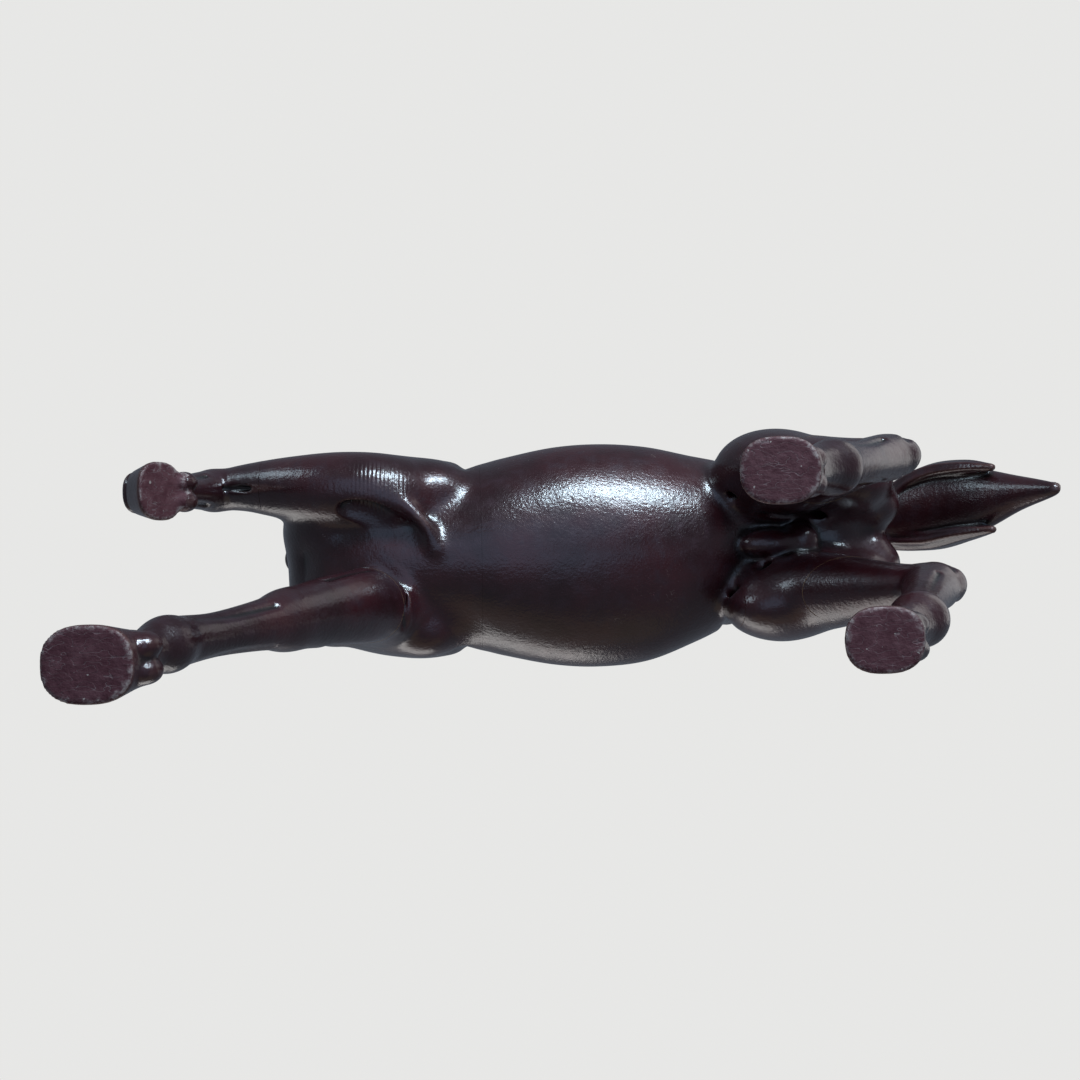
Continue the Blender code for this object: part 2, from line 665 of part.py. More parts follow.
def rod(start, end, start_radius, end_radius, sides=16):
    """Points and faces of a round rod or cone between two points."""
    start, end = Vector(start), Vector(end)
    turn = (end - start).to_track_quat("Z", "Y").to_matrix()
    rings = []
    for place, radius in ((start, start_radius), (end, end_radius)):
        angles = [2 * math.pi * i / sides for i in range(sides)]
        rings.append([place + turn @ Vector((radius * math.cos(a), radius * math.sin(a), 0)) for a in angles])
    return skinned([np.array(ring) for ring in rings], closed=False)


def stretched(start, end, extra):
    """The ends of a line, each moved outwards by extra."""
    start, end = Vector(start), Vector(end)
    more = (end - start).normalized() * extra
    return start - more, end + more


def cast_skin():
    """The whole outer skin as one mesh, thinned to its triangle budget and cut flat at the soles."""
    points, quads = sculpt_horse(VOXEL).surface()
    source = helper("sculpted_skin", points, quads)
    thinning = source.modifiers.new("thinning", "DECIMATE")
    thinning.ratio = SKIN_TRIANGLES / (2 * len(quads))
    flat = bpy.data.objects.new("flat_skin", evaluated(source))
    bpy.context.collection.objects.link(flat)
    flat.hide_render = True
    below = slab("ground", (-REACH, -REACH, FLOOR), (REACH, REACH, 0))
    return helper_mesh(flat, [("DIFFERENCE", below)])


def helper_mesh(obj, operations):
    """The mesh that an object has after a list of Boolean operations."""
    for operation, other in operations:
        step = obj.modifiers.new(other.name, "BOOLEAN")
        step.operation = operation
        step.object = other
        step.solver = "EXACT"
    return evaluated(obj)


def cast_piece(name, skin, region, cuts, material, base):
    """One casting: the part of the skin inside a region, less its cuts."""
    source = new_object(name + "_blank", skin)
    source.hide_render = True
    source.display_type = "WIRE"
    mesh = helper_mesh(source, [("INTERSECT", region)] + [("DIFFERENCE", cut) for cut in cuts])
    return finished(name, mesh, material, base)


def finished(name, mesh, material, base):
    """A named piece of the statuette, parented to its base point and shaded smooth up to its sawn edges."""
    obj = new_object(name, mesh)
    mesh.materials.clear()
    mesh.materials.append(material)
    mesh.shade_smooth()
    mesh.set_sharp_from_angle(angle=math.radians(40))
    obj.parent = base
    return obj


def base_point(skin):
    """The empty that stands the statuette with its box centred on the origin."""
    corners = np.array([vertex.co for vertex in skin.vertices])
    centre = 0.5 * (corners.min(axis=0) + corners.max(axis=0))
    base = new_object("statuette", None)
    base.location = (-centre[0], -centre[1], 0)
    return base


def build():
    """The castings, and the sleeves, dowels and pins that hold them together."""
    clear_scene()
    patina = metal("patinated_bronze", PATINA, 0.25, 0.4)
    bare = metal("bare_bronze", BARE_BRONZE, 0.35, 1.0)
    skin = cast_skin()
    base = base_point(skin)
    core = casting_core()
    (bore_x, bore_y, bore_z, bore_wide), (tip_x, tip_y, tip_z, bore_narrow) = NECK_BORE
    neck_bore = helper("neck_bore", *rod((bore_x, bore_y, bore_z), (tip_x, tip_y, tip_z), bore_wide, bore_narrow, 20))

    holes = {}
    for name, (start, end, radius) in DOWELS.items():
        finished(name, mesh_of(name, *rod(start, end, radius, radius)), bare, base)
        holes[name] = helper(name + "_hole", *rod(*stretched(start, end, GAP), radius + GAP, radius + GAP))
    for name, x in SLEEVES.items():
        finished(name, mesh_of(name, *skinned(sleeve_rings(x), closed=True)), bare, base)

    half_gap = 0.5 * GAP
    leg_top, body_bottom = LEG_JOINT_Z - half_gap, LEG_JOINT_Z + half_gap
    right_leg = slab("right_leg_space", (0, -REACH, FLOOR), (REACH, 0, leg_top))
    raised_leg = slab("raised_leg_space", (RAISED_JOINT_X + half_gap, 0, FLOOR), (REACH, REACH, RAISED_LEG_ROOF))
    raised_cut = slab("raised_leg_cut", (RAISED_JOINT_X - half_gap, 0, FLOOR), (REACH, REACH, RAISED_LEG_ROOF))
    left_hind = slab("left_hind_space", (-REACH, BETWEEN_HIND_LEGS_Y, FLOOR), (0, REACH, leg_top))
    right_hind = slab("right_hind_space", (-REACH, -REACH, FLOOR), (0, BETWEEN_HIND_LEGS_Y, leg_top))
    front = slab("front_space", (FORE_JOINT_X + half_gap, -REACH, body_bottom), (REACH, REACH, ROOF))
    middle = slab(
        "barrel_space",
        (REAR_JOINT_X + half_gap, -REACH, body_bottom),
        (FORE_JOINT_X - half_gap, REACH, WITHERS_Z - half_gap),
    )
    rear = slab("rear_space", (-REACH, -REACH, body_bottom), (REAR_JOINT_X - half_gap, REACH, ROOF))

    neck_edge = NECK_JOINT + [(REACH, 112), (REACH, ROOF), (0, ROOF), (0, WITHERS_Z)]
    neck = prism("neck_space", shifted(neck_edge, half_gap, half_gap))
    neck_cut = prism("neck_cut", shifted(neck_edge, -half_gap, -half_gap))
    head_edge = HEAD_JOINT + [(REACH, 130), (REACH, 230)]
    head = prism("head_space", shifted(head_edge, half_gap, 0))
    head_cut = prism("head_cut", shifted(head_edge, -half_gap, 0))
    tail_edge = TAIL_JOINT + [(-REACH, 80), (-REACH, 175)]
    tail = prism("tail_space", shifted(tail_edge, -half_gap, 0))
    tail_cut = prism("tail_cut", shifted(tail_edge, half_gap, 0))

    def cast(name, region, cuts, pins):
        cast_piece(name, skin, region, cuts + [holes[pin] for pin in pins], patina, base)

    neck_pins = ["left_neck_pin", "right_neck_pin"]
    hind_pins = ["right_hind_dowel", "left_hind_dowel", "tail_dowel"]
    cast(
        "forequarter_casting",
        front,
        [neck_cut, raised_cut, core, neck_bore],
        neck_pins + ["right_fore_dowel", "left_fore_dowel"],
    )
    cast("barrel_casting", middle, [core], [])
    cast("hindquarter_casting", rear, [tail_cut, core], hind_pins)
    cast("neck_casting", neck, [head_cut, core, neck_bore], neck_pins + ["head_dowel"])
    cast("head_casting", head, [], ["head_dowel"])
    cast("tail_casting", tail, [], ["tail_dowel"])
    cast("right_foreleg_casting", right_leg, [], ["right_fore_dowel"])
    cast("left_foreleg_casting", raised_leg, [], ["left_fore_dowel"])
    cast("right_hindleg_casting", right_hind, [], ["right_hind_dowel"])
    cast("left_hindleg_casting", left_hind, [], ["left_hind_dowel"])


build()
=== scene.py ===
"""The looks of a bronze horse statuette, built around its packed castings.

The skin is sculpted again, finer than in the CAD and with its hair, folds, hooves and face, then sawn along
the same joints. The horse faces +X and its left side is +Y. Sculpting numbers are in millimetres, in the
sculptor's frame, whose X = 0 is mid-barrel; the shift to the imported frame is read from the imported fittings.
"""

import math

import bmesh
import bpy
import numpy as np
from mathutils import Euler, Matrix, Vector


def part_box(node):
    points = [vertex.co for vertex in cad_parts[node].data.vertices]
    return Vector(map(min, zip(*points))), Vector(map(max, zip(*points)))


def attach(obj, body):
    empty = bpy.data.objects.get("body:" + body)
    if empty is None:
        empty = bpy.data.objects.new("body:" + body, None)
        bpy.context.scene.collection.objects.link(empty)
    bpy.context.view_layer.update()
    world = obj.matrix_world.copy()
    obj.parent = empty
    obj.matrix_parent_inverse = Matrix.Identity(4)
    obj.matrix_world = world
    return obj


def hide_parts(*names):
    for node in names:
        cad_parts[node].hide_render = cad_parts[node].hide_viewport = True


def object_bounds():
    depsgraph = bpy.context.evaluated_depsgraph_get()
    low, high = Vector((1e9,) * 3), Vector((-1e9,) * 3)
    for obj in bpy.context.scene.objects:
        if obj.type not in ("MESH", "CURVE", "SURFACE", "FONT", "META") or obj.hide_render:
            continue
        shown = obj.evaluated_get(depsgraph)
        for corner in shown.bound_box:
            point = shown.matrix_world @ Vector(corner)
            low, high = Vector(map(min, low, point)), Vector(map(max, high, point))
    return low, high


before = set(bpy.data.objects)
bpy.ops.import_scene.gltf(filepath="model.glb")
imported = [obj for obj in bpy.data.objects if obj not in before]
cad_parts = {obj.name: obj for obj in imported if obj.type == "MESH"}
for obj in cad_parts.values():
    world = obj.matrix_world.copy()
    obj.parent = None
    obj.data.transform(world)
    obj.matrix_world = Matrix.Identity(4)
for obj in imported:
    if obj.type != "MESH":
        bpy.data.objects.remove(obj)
CAD_BOX = [list(corner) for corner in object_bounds()]

# ---- the castings, in millimetres ----
MM = 0.001
# The distance far from any metal, and half the size of the cutters.
FAR = 60.0
REACH = 140.0
# How far a limb's distances are averaged, and the room round a casting that its skin is sculpted in.
SOFT = 1.2
MARGIN = 2.6
WALL = 3.6
# The play of a dowel in its hole, and the seam that shows between castings.
GAP = 0.3
HAIRLINE = 0.03
# Faces deeper than this in the sculpted metal were sawn or bored; wider angles than the second are sharp.
SAWN_DEPTH = 0.3
SHARP_ANGLE = 62
# The reach of the measured curving, and how high, how far out and how low a place still counts as a sole.
CURVE_REACH = 1.2
SOLE_FADE = (0.42, 0.12)
SOLE_OUT = 1.15
SOLE_LOW = -1.5

FORE_JOINT_X = 30.4
REAR_JOINT_X = -31.5
LEG_JOINT_Z = 78.0
RAISED_JOINT_X = 82.0
RAISED_LEG_ROOF = 128.0
BETWEEN_HIND_LEGS_Y = 3.5
FLOOR_Z = -20.0
ROOF_Z = 250.0
TAIL_JOINT = [(-78.5, 175), (-78.5, 130), (-84.0, 123), (-84.0, 80)]
WITHERS_Z = 157.0
NECK_JOINT = [(FORE_JOINT_X, WITHERS_Z), (FORE_JOINT_X, 155.0), (84.0, 112.0)]
HEAD_JOINT = [(57.0, 230), (57.5, 176), (64.0, 152), (71.0, 137)]

CORE_STATIONS = (-62.0, -52.0, -12.0, 6.0, 50.0, 64.0)
CORE_SIDES = 24
NECK_BORE = [(55, 0, 128, 10.0), (48, 0, 174, 4.5)]
SLEEVE_LENGTH = 12.0
DOWELS = {
    "right_fore_dowel": ((58.8, -11.3, 70), (55.8, -11.6, 85), 2.0),
    "left_fore_dowel": ((74, 17.3, 95.4), (90, 17.6, 100.0), 2.0),
    "right_hind_dowel": ((-57.5, -9.0, 70), (-51.5, -9.4, 86), 2.0),
    "left_hind_dowel": ((-50.5, 19.3, 70), (-46.0, 18.9, 86), 2.0),
    "tail_dowel": ((-86, 7.2, 142), (-71, 5.2, 139), 2.0),
    "head_dowel": ((50, 0, 191), (65, 0, 191), 2.0),
    "left_neck_pin": ((49, 16.6, 133), (55.5, 16.2, 141), 1.3),
    "right_neck_pin": ((49, -16.6, 133), (55.5, -16.2, 141), 1.3),
}
SLEEVES = ("front_sleeve", "rear_sleeve")

# The voxel that each casting's skin is sculpted with.
VOXELS = {
    "barrel_casting": 0.55,
    "forequarter_casting": 0.5,
    "hindquarter_casting": 0.5,
    "neck_casting": 0.45,
    "head_casting": 0.36,
    "tail_casting": 0.42,
    "right_foreleg_casting": 0.42,
    "left_foreleg_casting": 0.42,
    "right_hindleg_casting": 0.42,
    "left_hindleg_casting": 0.42,
}

# Trunk sections: x, centre y, top z, bottom z, half width, z of the widest place.
TRUNK = [
    (72.4, 0.0, 131, 97, 12.0, 112),
    (66.5, 0.0, 141, 90, 17.5, 112),
    (57, 0.0, 149, 86, 21.0, 112),
    (46, 0.0, 154, 84, 22.0, 112),
    (36, 0.0, 155, 83, 22.0, 110),
    (25, 0.0, 151, 82, 24.6, 107),
    (12, 0.0, 147, 82.5, 27.2, 106),
    (0, 0.0, 145, 83.5, 28.0, 107),
    (-12, 0.2, 144.5, 86, 27.0, 108),
    (-25, 1.2, 146, 90, 23.6, 111),
    (-36, 2.6, 148.5, 96, 21.0, 116),
    (-48, 3.8, 149, 99, 20.5, 120),
    (-60, 4.4, 145.5, 100, 18.5, 121),
    (-69, 4.6, 140, 105, 13.0, 121),
]

# Neck sections: x, y, z of the middle, half width, half depth.
NECK = [
    (55, 0, 126, 18.5, 26.0),
    (53, 0, 142, 15.5, 23.0),
    (50, 0, 156, 12.6, 18.5),
    (47, 0, 168, 10.4, 14.2),
    (48, 0, 180, 9.0, 12.0),
    (54, 0, 191, 8.2, 10.6),
    (62, 0, 197, 7.4, 9.0),
]
CREST = [
    (66, 0, 206),
    (58, 0, 205.5),
    (49.5, 0, 201.5),
    (42, 0, 194.5),
    (36.5, 0, 185),
    (34, 0, 174),
    (34.5, 0, 164),
]

# How a hoof narrows upward, rounds off its sole, leans to its toe, and how square its outline is.
HEIGHT_OF_HOOF = 9.5
CORONET_HEIGHT = 7.6
HOOF_TAPER = 0.30
HOOF_RIM = 0.8
TOE_LEAN = 0.42
SQUARENESS = 2.5
# Hooves: centre of the sole, length, width, flex in degrees.
HOOVES = {
    "right_fore": ((93.5, -14.0, 0), 14.6, 12.8, 0),
    "left_fore": ((96.4, 15.5, 59.0), 13.8, 12.4, 65),
    "left_hind": ((-16.2, 14.7, 0), 13.8, 11.4, 0),
    "right_hind": ((-33, -13.1, 0), 13.8, 11.4, 0),
}


# ---- curves and signed distances ----
def curve_through(stations, pieces):
    """Rows along a Catmull-Rom curve through the given rows, with so many pieces between two of them."""
    rows = np.array(stations, float)
    rows = np.vstack([2 * rows[0] - rows[1], rows, 2 * rows[-1] - rows[-2]])
    steps = np.arange(pieces)[:, None] / pieces
    out = []
    for before, start, end, after in zip(rows[:-3], rows[1:-2], rows[2:-1], rows[3:]):
        bend = 2 * before - 5 * start + 4 * end - after
        twist = 3 * start - before - 3 * end + after
        out.append(start + 0.5 * ((end - before) * steps + bend * steps**2 + twist * steps**3))
    out.append(rows[-2][None])
    return np.vstack(out)


def smooth_min(first, second, blend):
    """The lower of two distances, rounded over where they are nearly equal."""
    if blend <= 0:
        return np.minimum(first, second)
    share = np.clip(0.5 + 0.5 * (second - first) / blend, 0, 1)
    return second + (first - second) * share - blend * share * (1 - share)


def tapered_piece(start, end, side, strands, groove):
    """One short stretch of a sweep, between two of its rows."""
    origin = start[:3]
    axis = end[:3] - origin
    length = np.linalg.norm(axis)
    axis = axis / length
    across = side - axis * side.dot(axis)
    across = across / np.linalg.norm(across)
    depthwise = np.cross(axis, across)
    reach = max(start[3], start[4], end[3], end[4])

    def distance(x, y, z):
        x, y, z = x - origin[0], y - origin[1], z - origin[2]
        along = x * axis[0] + y * axis[1] + z * axis[2]
        share = np.clip(along / length, 0, 1)
        over = along - share * length
        wide = x * across[0] + y * across[1] + z * across[2]
        deep = x * depthwise[0] + y * depthwise[1] + z * depthwise[2]
        half_width = start[3] + share * (end[3] - start[3])
        half_depth = start[4] + share * (end[4] - start[4])
        least = np.minimum(half_width, half_depth)
        round_it = (wide / half_width) ** 2 + (deep / half_depth) ** 2
        if strands:
            angle = np.arctan2(deep / half_depth, wide / half_width)
            round_it = round_it / (1 + groove * np.cos(strands * angle)) ** 2
        ratio = np.sqrt(round_it + (over**2 + 1e-4) / least**2)
        radius = np.sqrt(wide**2 + deep**2 + over**2 + 1e-4)
        return (ratio - 1) * radius / ratio

    low = np.minimum(origin, end[:3]) - reach
    high = np.maximum(origin, end[:3]) + reach
    return low, high, distance


def sweep(stations, side=(0, 1, 0), pieces=8, strands=0, groove=0.0):
    """A tapering limb through rows of x, y, z, half width along side, half depth across it.

    Strands of hair run along it when it has a groove between them, as a share of its radius.
    """
    rows = curve_through(stations, pieces)
    side = np.array(side, float)
    return [tapered_piece(start, end, side, strands, groove) for start, end in zip(rows[:-1], rows[1:])]


def line(points, radius, pieces=4):
    """A thin round sweep through points, which tapers to both ends."""
    count = len(points) - 1
    radii = [radius * (0.45 + 0.55 * math.sin(math.pi * i / count)) for i in range(count + 1)]
    rows = [(*point, half, half) for point, half in zip(points, radii)]
    return sweep(rows, side=(0.3, 0.9, 0.3), pieces=pieces)


def ellipsoid(centre, radii, turn=(0, 0, 0)):
    """A muscle: an ellipsoid turned by so many degrees about X, Y and Z."""
    centre = np.array(centre, float)
    radii = np.array(radii, float)
    axes = np.array(Euler([math.radians(angle) for angle in turn]).to_matrix())
    reach = np.sqrt(((axes * radii) ** 2).sum(axis=1))

    def distance(x, y, z):
        x, y, z = x - centre[0], y - centre[1], z - centre[2]
        local = [x * axes[0, i] + y * axes[1, i] + z * axes[2, i] for i in range(3)]
        shares = list(zip(local, radii))
        ratio = np.sqrt(sum((value / radius) ** 2 for value, radius in shares) + 1e-6)
        least = 1e-6 / radii.min() ** 2
        slope = np.sqrt(sum((value / radius**2) ** 2 for value, radius in shares) + least)
        return ratio * (ratio - 1) / slope

    return [(centre - reach, centre + reach, distance)]


def softened(values, step, reach):
    """Distances averaged over a reach, which takes the rings out of a sweep."""
    half = max(1, round(reach / step))
    for axis in (0, 1, 2, 0, 1, 2):
        ends = [(half + 1, half) if i == axis else (0, 0) for i in range(3)]
        total = np.moveaxis(np.cumsum(np.pad(values, ends, mode="edge"), axis=axis, dtype=float), axis, 0)
        mean = (total[2 * half + 1 :] - total[: -2 * half - 1]) / (2 * half + 1)
        values = np.moveaxis(mean, 0, axis)
    return values


def trunk_section(x, inset=0.0):
    """Centre y, top z, bottom z, half width and widest z of the trunk at x, drawn in by inset."""
    rows = curve_through(TRUNK, 24)[::-1]
    values = [np.interp(x, rows[:, 0], rows[:, i]) for i in range(1, 6)]
    return values[0], values[1] - inset, values[2] + inset, values[3] - inset, values[4]


def trunk():
    """The lofted barrel, chest and croup."""
    rows = curve_through(TRUNK, 6)
    front, rear = rows[0, 0], rows[-1, 0]
    end_radius = 6.0

    def distance(x, y, z):
        centre, top, bottom, half_width, widest = trunk_section(x)
        over = np.maximum(0, np.maximum(x - front, rear - x))
        wide = y - centre
        high = z - widest
        half_height = np.where(high > 0, top - widest, widest - bottom)
        round_it = (wide / half_width) ** 2 + (high / half_height) ** 2
        ratio = np.sqrt(round_it + (over / end_radius) ** 2 + 1e-6)
        radius = np.sqrt(wide**2 + high**2 + over**2 + 1e-6)
        return (ratio - 1) * radius / ratio

    low = np.array([rear - end_radius, rows[:, 1].min() - rows[:, 4].max(), rows[:, 3].min()])
    high = np.array([front + end_radius, rows[:, 1].max() + rows[:, 4].max(), rows[:, 2].max()])
    return [(low, high, distance)]


def hoof_place(hoof_row, x, y, z):
    """A place's distance out as a share of the hoof's radius there, that distance, and its height."""
    centre, length, width, flex = hoof_row
    cosine, sine = math.cos(math.radians(flex)), math.sin(math.radians(flex))
    x, y, z = x - centre[0], y - centre[1], z - centre[2]
    forward = x * cosine - z * sine
    up = x * sine + z * cosine
    scale = 1 - HOOF_TAPER * np.clip(up / HEIGHT_OF_HOOF, 0, 1)
    forward = forward + TOE_LEAN * np.clip(up, 0, HEIGHT_OF_HOOF)
    long_share = abs(forward / (0.5 * length * scale))
    wide_share = abs(y / (0.5 * width * scale))
    ratio = (long_share**SQUARENESS + wide_share**SQUARENESS + 1e-5) ** (1 / SQUARENESS)
    radius = np.sqrt(forward**2 + y**2 + 1e-2)
    return ratio, radius, up


def hoof(hoof_row):
    """A hoof that leans forward to its toe, with a rounded rim round its flat sole."""
    centre = np.array(hoof_row[0], float)
    reach = np.array([hoof_row[1]] * 3)

    def distance(x, y, z):
        ratio, radius, up = hoof_place(hoof_row, x, y, z)
        side = (ratio - 1) * radius / ratio
        return -smooth_min(-side, -np.maximum(-up, up - HEIGHT_OF_HOOF), HOOF_RIM)

    return [(centre - reach, centre + reach, distance)]


class Sculpt:
    """Signed distances on a grid of voxels, negative inside the metal."""

    def __init__(self, low, high, step):
        self.step = step
        self.low = np.array(low, float)
        self.count = np.ceil((np.array(high, float) - self.low) / step).astype(int) + 1
        self.value = np.full(self.count, FAR, np.float32)

    def window(self, low, high):
        """The slices of the samples in a box, clipped to the grid."""
        first = np.clip(np.floor((low - self.low) / self.step).astype(int), 0, self.count)
        last = np.minimum(np.ceil((high - self.low) / self.step).astype(int) + 1, self.count)
        return first, np.maximum(last, first)

    def measure(self, shape, margin, soften=0.0):
        """The distance to a shape near it, and the slices that it covers."""
        margin = margin + 2 * soften
        first, last = self.window(
            np.min([piece[0] for piece in shape], axis=0) - margin,
            np.max([piece[1] for piece in shape], axis=0) + margin,
        )
        found = np.full(last - first, FAR, np.float32)
        for low, high, distance in shape:
            start, stop = self.window(low - margin, high + margin)
            if np.any(stop <= start):
                continue
            axes = [self.low[i] + self.step * np.arange(start[i], stop[i]) for i in range(3)]
            inner = tuple(slice(a - c, b - c) for a, b, c in zip(start, stop, first))
            here = distance(*np.meshgrid(*axes, indexing="ij", sparse=True))
            found[inner] = np.minimum(found[inner], here)
        if soften and found.size:
            found = softened(np.minimum(found, margin), self.step, soften)
        return tuple(slice(a, b) for a, b in zip(first, last)), found

    def join(self, shape, blend, soften=0.0):
        slices, found = self.measure(shape, blend + 2 * self.step, soften)
        self.value[slices] = smooth_min(self.value[slices], found, blend)

    def carve(self, shape, blend):
        slices, found = self.measure(shape, blend + 2 * self.step)
        self.value[slices] = -smooth_min(-self.value[slices], found, blend)

    def sample(self, points):
        """The distance at each point, read between the voxels."""
        place = (points - self.low) / self.step
        corner = np.clip(np.floor(place).astype(int), 0, self.count - 2)
        share = np.clip(place - corner, 0, 1)
        total = np.zeros(len(points))
        for offset in np.ndindex(2, 2, 2):
            weight = np.prod(np.where(offset, share, 1 - share), axis=1)
            i, j, k = (corner + offset).T
            total += weight * self.value[i, j, k]
        return total

    def slope(self, points, reach):
        """The gradient of the distance at each point, and how much it curves there."""
        here = self.sample(points)
        slope = np.zeros_like(points)
        around = -6 * here
        for axis in range(3):
            ahead, behind = points.copy(), points.copy()
            ahead[:, axis] += reach
            behind[:, axis] -= reach
            ahead, behind = self.sample(ahead), self.sample(behind)
            slope[:, axis] = (ahead - behind) / (2 * reach)
            around += ahead + behind
        return here, slope, around / reach

    def close(self):
        """Ends the metal at the border of the grid, so that the net closes there."""
        for axis in range(3):
            view = np.moveaxis(self.value, axis, 0)
            for border in (0, -1):
                view[border] = np.maximum(view[border], 0.4 * self.step)

    def settle(self):
        """Turns over the faintest corner of each voxel face whose corners alternate."""
        faint = 0.01
        for axis in (0, 1, 2) * 3:
            view = np.moveaxis(self.value, axis, 0)
            inside = view < 0
            first, second = inside[:, :-1, :-1], inside[:, 1:, :-1]
            mixed = (first == inside[:, 1:, 1:]) & (second == inside[:, :-1, 1:]) & (first != second)
            for i, j, k in np.argwhere(mixed):
                corners = [(i, j, k), (i, j + 1, k), (i, j + 1, k + 1), (i, j, k + 1)]
                weakest = min(corners, key=lambda corner: abs(view[corner]))
                view[weakest] = faint if view[weakest] < 0 else -faint

    def surface(self):
        """Points and quads of the zero surface, with one point in each voxel that it passes through."""
        self.close()
        self.settle()
        inside = self.value < 0
        cells = self.count - 1
        filled = np.zeros(cells, np.int8)
        for offset in np.ndindex(2, 2, 2):
            filled += inside[tuple(slice(o, o + n) for o, n in zip(offset, cells))]
        cell = np.argwhere((filled > 0) & (filled < 8))
        total = np.zeros((len(cell), 3))
        hits = np.zeros(len(cell))
        for axis in range(3):
            for offset in np.ndindex(2, 2):
                near = np.insert(offset, axis, 0)
                far = np.insert(offset, axis, 1)
                a = self.value[tuple((cell + near).T)].astype(float)
                b = self.value[tuple((cell + far).T)].astype(float)
                crosses = (a < 0) != (b < 0)
                share = np.where(crosses, a / np.where(crosses, a - b, 1), 0)
                point = near + share[:, None] * (far - near)
                total += np.where(crosses[:, None], point, 0)
                hits += crosses
        points = self.low + self.step * (cell + total / hits[:, None])
        index = np.full(cells, -1, np.int32)
        index[tuple(cell.T)] = np.arange(len(cell))
        quads = []
        for axis in range(3):
            u, v = (axis + 1) % 3, (axis + 2) % 3
            near = [slice(1, n) for n in cells]
            far = list(near)
            near[axis] = slice(0, cells[axis])
            far[axis] = slice(1, cells[axis] + 1)
            change = inside[tuple(near)].astype(np.int8) - inside[tuple(far)]
            for sign in (1, -1):
                edge = np.argwhere(change == sign)
                edge[:, u] += 1
                edge[:, v] += 1
                ring = []
                for du, dv in ((1, 1), (0, 1), (0, 0), (1, 0))[::sign]:
                    corner = edge.copy()
                    corner[:, u] -= du
                    corner[:, v] -= dv
                    ring.append(index[tuple(corner.T)])
                quads.append(np.stack(ring, axis=1))
        return self.polished(points), np.vstack(quads)

    def polished(self, points):
        """The net's points, drawn onto the zero surface so that a gloss runs evenly over them."""
        for _ in range(3):
            here, slope, _ = self.slope(points, 0.5 * self.step)
            steep = np.maximum((slope**2).sum(axis=1), 0.2)
            shift = np.clip(here / steep, -0.4 * self.step, 0.4 * self.step)
            points = points - slope * shift[:, None]
        return points


# ---- the horse's anatomy ----
def mirrored(point, side):
    return point[0], side * point[1], *point[2:]


def on_side(points, side, middle=0.0):
    """Points of the left side on either side, measured from the middle."""
    return [(x, middle + side * y, *more) for x, y, *more in points]


def left_and_right(sculpt, blend, centre, radii, turn=(0, 0, 0), middle=0.0):
    """The same muscle on both sides of the middle."""
    x, y, z = centre
    roll, pitch, yaw = turn
    sculpt.join(ellipsoid((x, middle + y, z), radii, (roll, pitch, yaw)), blend)
    sculpt.join(ellipsoid((x, middle - y, z), radii, (-roll, pitch, -yaw)), blend)


def sculpt_body(sculpt):
    """The trunk with the muscles of chest, shoulders, loins and haunches."""
    sculpt.join(trunk(), 0)
    left_and_right(sculpt, 7, (49, 13.5, 126), (13, 9.5, 28), (0, 28, 0))
    left_and_right(sculpt, 6, (67, 12.5, 107), (10, 9, 12))
    left_and_right(sculpt, 6, (46, 15.5, 103), (15, 8.5, 15), (0, -20, 0))
    sculpt.join(ellipsoid((69.0, 7.0, 103), (8.6, 7.5, 13), (0, 12, 0)), 5)
    sculpt.join(ellipsoid((66.5, -6.5, 103), (7.6, 7.5, 13), (0, 12, 0)), 5)
    rump = 4.2
    left_and_right(sculpt, 7, (-49, 10.5, 135), (23, 11.0, 15.5), (0, -14, 0), 3.6)
    left_and_right(sculpt, 8, (-34, 12.4, 139.5), (7.5, 5.0, 7.5), (0, 25, 0), 2.4)
    left_and_right(sculpt, 6, (-58, 13.0, 115), (15, 11.0, 27), (0, 14, 0), rump)
    left_and_right(sculpt, 4, (-42.5, 17.0, 99), (12.5, 8.5, 18), (0, -28, 0), rump)
    left_and_right(sculpt, 5, (-69.5, 7.4, 117), (8.5, 7.4, 17), (0, 8, 0), rump)


def sculpt_body_folds(sculpt):
    """The creases between belly, flanks, shoulders and haunches, and the sheath."""
    sculpt.join(ellipsoid((-41, 2.2, 95.5), (8.5, 3.6, 4.6), (0, 12, 0)), 2.0)
    sculpt.join(ellipsoid((-48.5, 3.2, 98), (4.6, 4.4, 5.0)), 1.5)
    middle = 2.6
    for side in (1, -1):
        flank = [
            (-30.2, 5, 89.4),
            (-30.6, 12, 92.5),
            (-31.6, 19.0, 99),
            (-32.4, 21.6, 108),
            (-31.8, 22.6, 117),
            (-30.4, 22.2, 126),
        ]
        sculpt.carve(line(on_side(flank, side, middle), 1.25), 1.6)
        groin = [(-33, 4.6, 90.5), (-40, 6.3, 92.5), (-48, 7.4, 96), (-56, 7.0, 100), (-64, 4.0, 103)]
        sculpt.carve(line(on_side(groin, side, middle), 1.5), 1.4)
        shoulder = [(40.5, 21.5, 133), (34.5, 22.6, 121), (33, 23.4, 109), (35.5, 22.6, 98)]
        sculpt.carve(line(on_side(shoulder, side), 0.7), 3.6)
        blade = [(56, 19.6, 136), (49.5, 23.4, 124), (50.5, 24.0, 112)]
        sculpt.carve(line(on_side(blade, side), 0.5), 3.6)
    sculpt.carve(line([(80.8, 0, 124), (81.4, 0, 117), (81.2, 0, 110)], 0.9), 2.4)
    sculpt.carve(line([(-52, 4.0, 153.0), (-64, 4.4, 149.0), (-76, 4.6, 134)], 1.0), 2.2)


